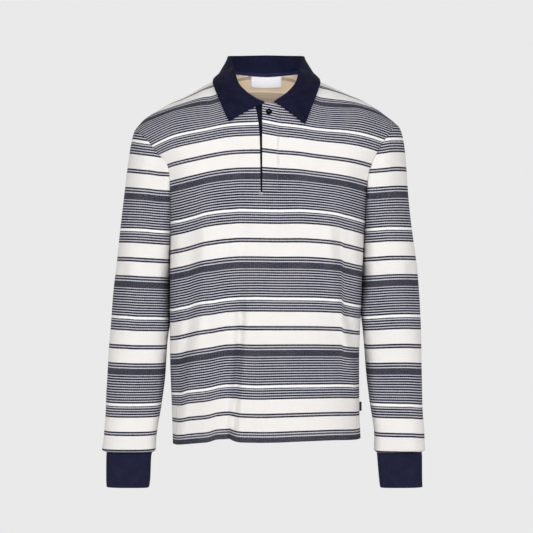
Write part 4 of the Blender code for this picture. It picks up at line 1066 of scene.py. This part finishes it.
def flatCut(name):
    # the piece's cloth laid out flat, in metres: width, length and area
    grid = cloths[name]
    rows = slice(None)
    if name in ("front", "back"):
        rows = slice(below + above // 2)  # the width counts below the armholes' middle
    if name.startswith("sleeve"):
        rows = slice(sleeve["capRows"], None)  # and below the sleeve's head
    if name.startswith(("sleeve", "cuff")):
        grid = closeRing(grid)
    across, down = lengthsAlong(grid[rows], axis=1)[:, -1].max(), lengthsAlong(grid)[-1].max()
    corner = grid[:-1, :-1]
    area = np.linalg.norm(np.cross(grid[:-1, 1:] - corner, grid[1:, :-1] - corner), axis=-1).sum()
    return across * mm, down * mm, area * mm * mm


for name, piece in pieces.items():
    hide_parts(name)
    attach(piece, "root")
    width, length, area = flatCut(name)
    print(name, "cut in mm", round(width / mm), round(length / mm), "area in square cm", round(area * 1e4))
    if min(width, length) >= 0.01:
        "folded" if name == "collar" else "hung"

print("studio")
studio = {
    "cameraDistance": 3.4, "cameraHeight": -0.3506,
    "pixel": 1.86e-3, "imageWidth": 533, "sensor": 36,
    "floorZ": -1.25, "floorFront": -8, "wallY": 8.0, "wallTop": 9, "halfWidth": 12,
    "backdrop": rgb(233.7, 233.7, 233.7),
    "worldStrength": 0.42,
    "aim": (0, 0, -0.35),
}
camera = bpy.data.cameras.new("camera")
camera.sensor_width = studio["sensor"]
camera.lens = studio["sensor"] * studio["cameraDistance"] / (studio["imageWidth"] * studio["pixel"])
cameraPlace = (studio["pixel"] / 2, -studio["cameraDistance"], studio["cameraHeight"])
cameraObject = addObject("camera", camera, cameraPlace)
cameraObject.rotation_euler = (math.pi / 2, 0, 0)
bpy.context.scene.camera = cameraObject

# the sweep's profile: floor, a round corner of 1 m and the wall
profile = [(studio["floorFront"], studio["floorZ"])]
for turn in np.linspace(0, math.pi / 2, 13):
    profile.append((studio["wallY"] - 1 + math.sin(turn), studio["floorZ"] + 1 - math.cos(turn)))
profile.append((studio["wallY"], studio["wallTop"]))
points = [(x, y, z) for y, z in profile for x in (-studio["halfWidth"], studio["halfWidth"])]
sweep = bpy.data.meshes.new("sweep")
sweep.from_pydata(points, [], [(i, i + 1, i + 3, i + 2) for i in range(0, len(points) - 2, 2)])
sweep.shade_smooth()
backdrop = Shade("backdrop", (0, 0, 0), 0.5, Specular_IOR_Level=0, Emission_Color=studio["backdrop"] + (1,),
                 Emission_Strength=1.0)
sweep.materials.append(backdrop.material)
sweepObject = addObject("sweep", sweep)
sweepObject.visible_diffuse = False

lamps = [
    # name, kind, place, aim, settings
    ("left side", "AREA", (-2.1, -2.8, 0.0), studio["aim"], {"size": 2.0, "energy": 33}),
    ("right side", "AREA", (2.1, -2.8, 0.0), studio["aim"], {"size": 2.0, "energy": 33}),
    ("front", "AREA", (0, -2.9, 0.5), studio["aim"], {"size": 1.8, "energy": 23}),
    ("neck", "SPOT", (0, -2.5, -0.16), (0, 0.09, 0.004),
     {"energy": 174, "spot_size": math.radians(3.8), "spot_blend": 1, "shadow_soft_size": 0.06}),
]
for name, kind, place, aim, settings in lamps:
    lamp = bpy.data.lights.new(name, kind)
    for setting, value in settings.items():
        setattr(lamp, setting, value)
    addObject(name, lamp, place, aim)
world = bpy.data.worlds.new("world")
world.use_nodes = True
background = world.node_tree.nodes["Background"]
background.inputs["Color"].default_value = (1, 1, 1, 1)
background.inputs["Strength"].default_value = studio["worldStrength"]
bpy.context.scene.world = world
bpy.context.scene.view_settings.view_transform = "Standard"
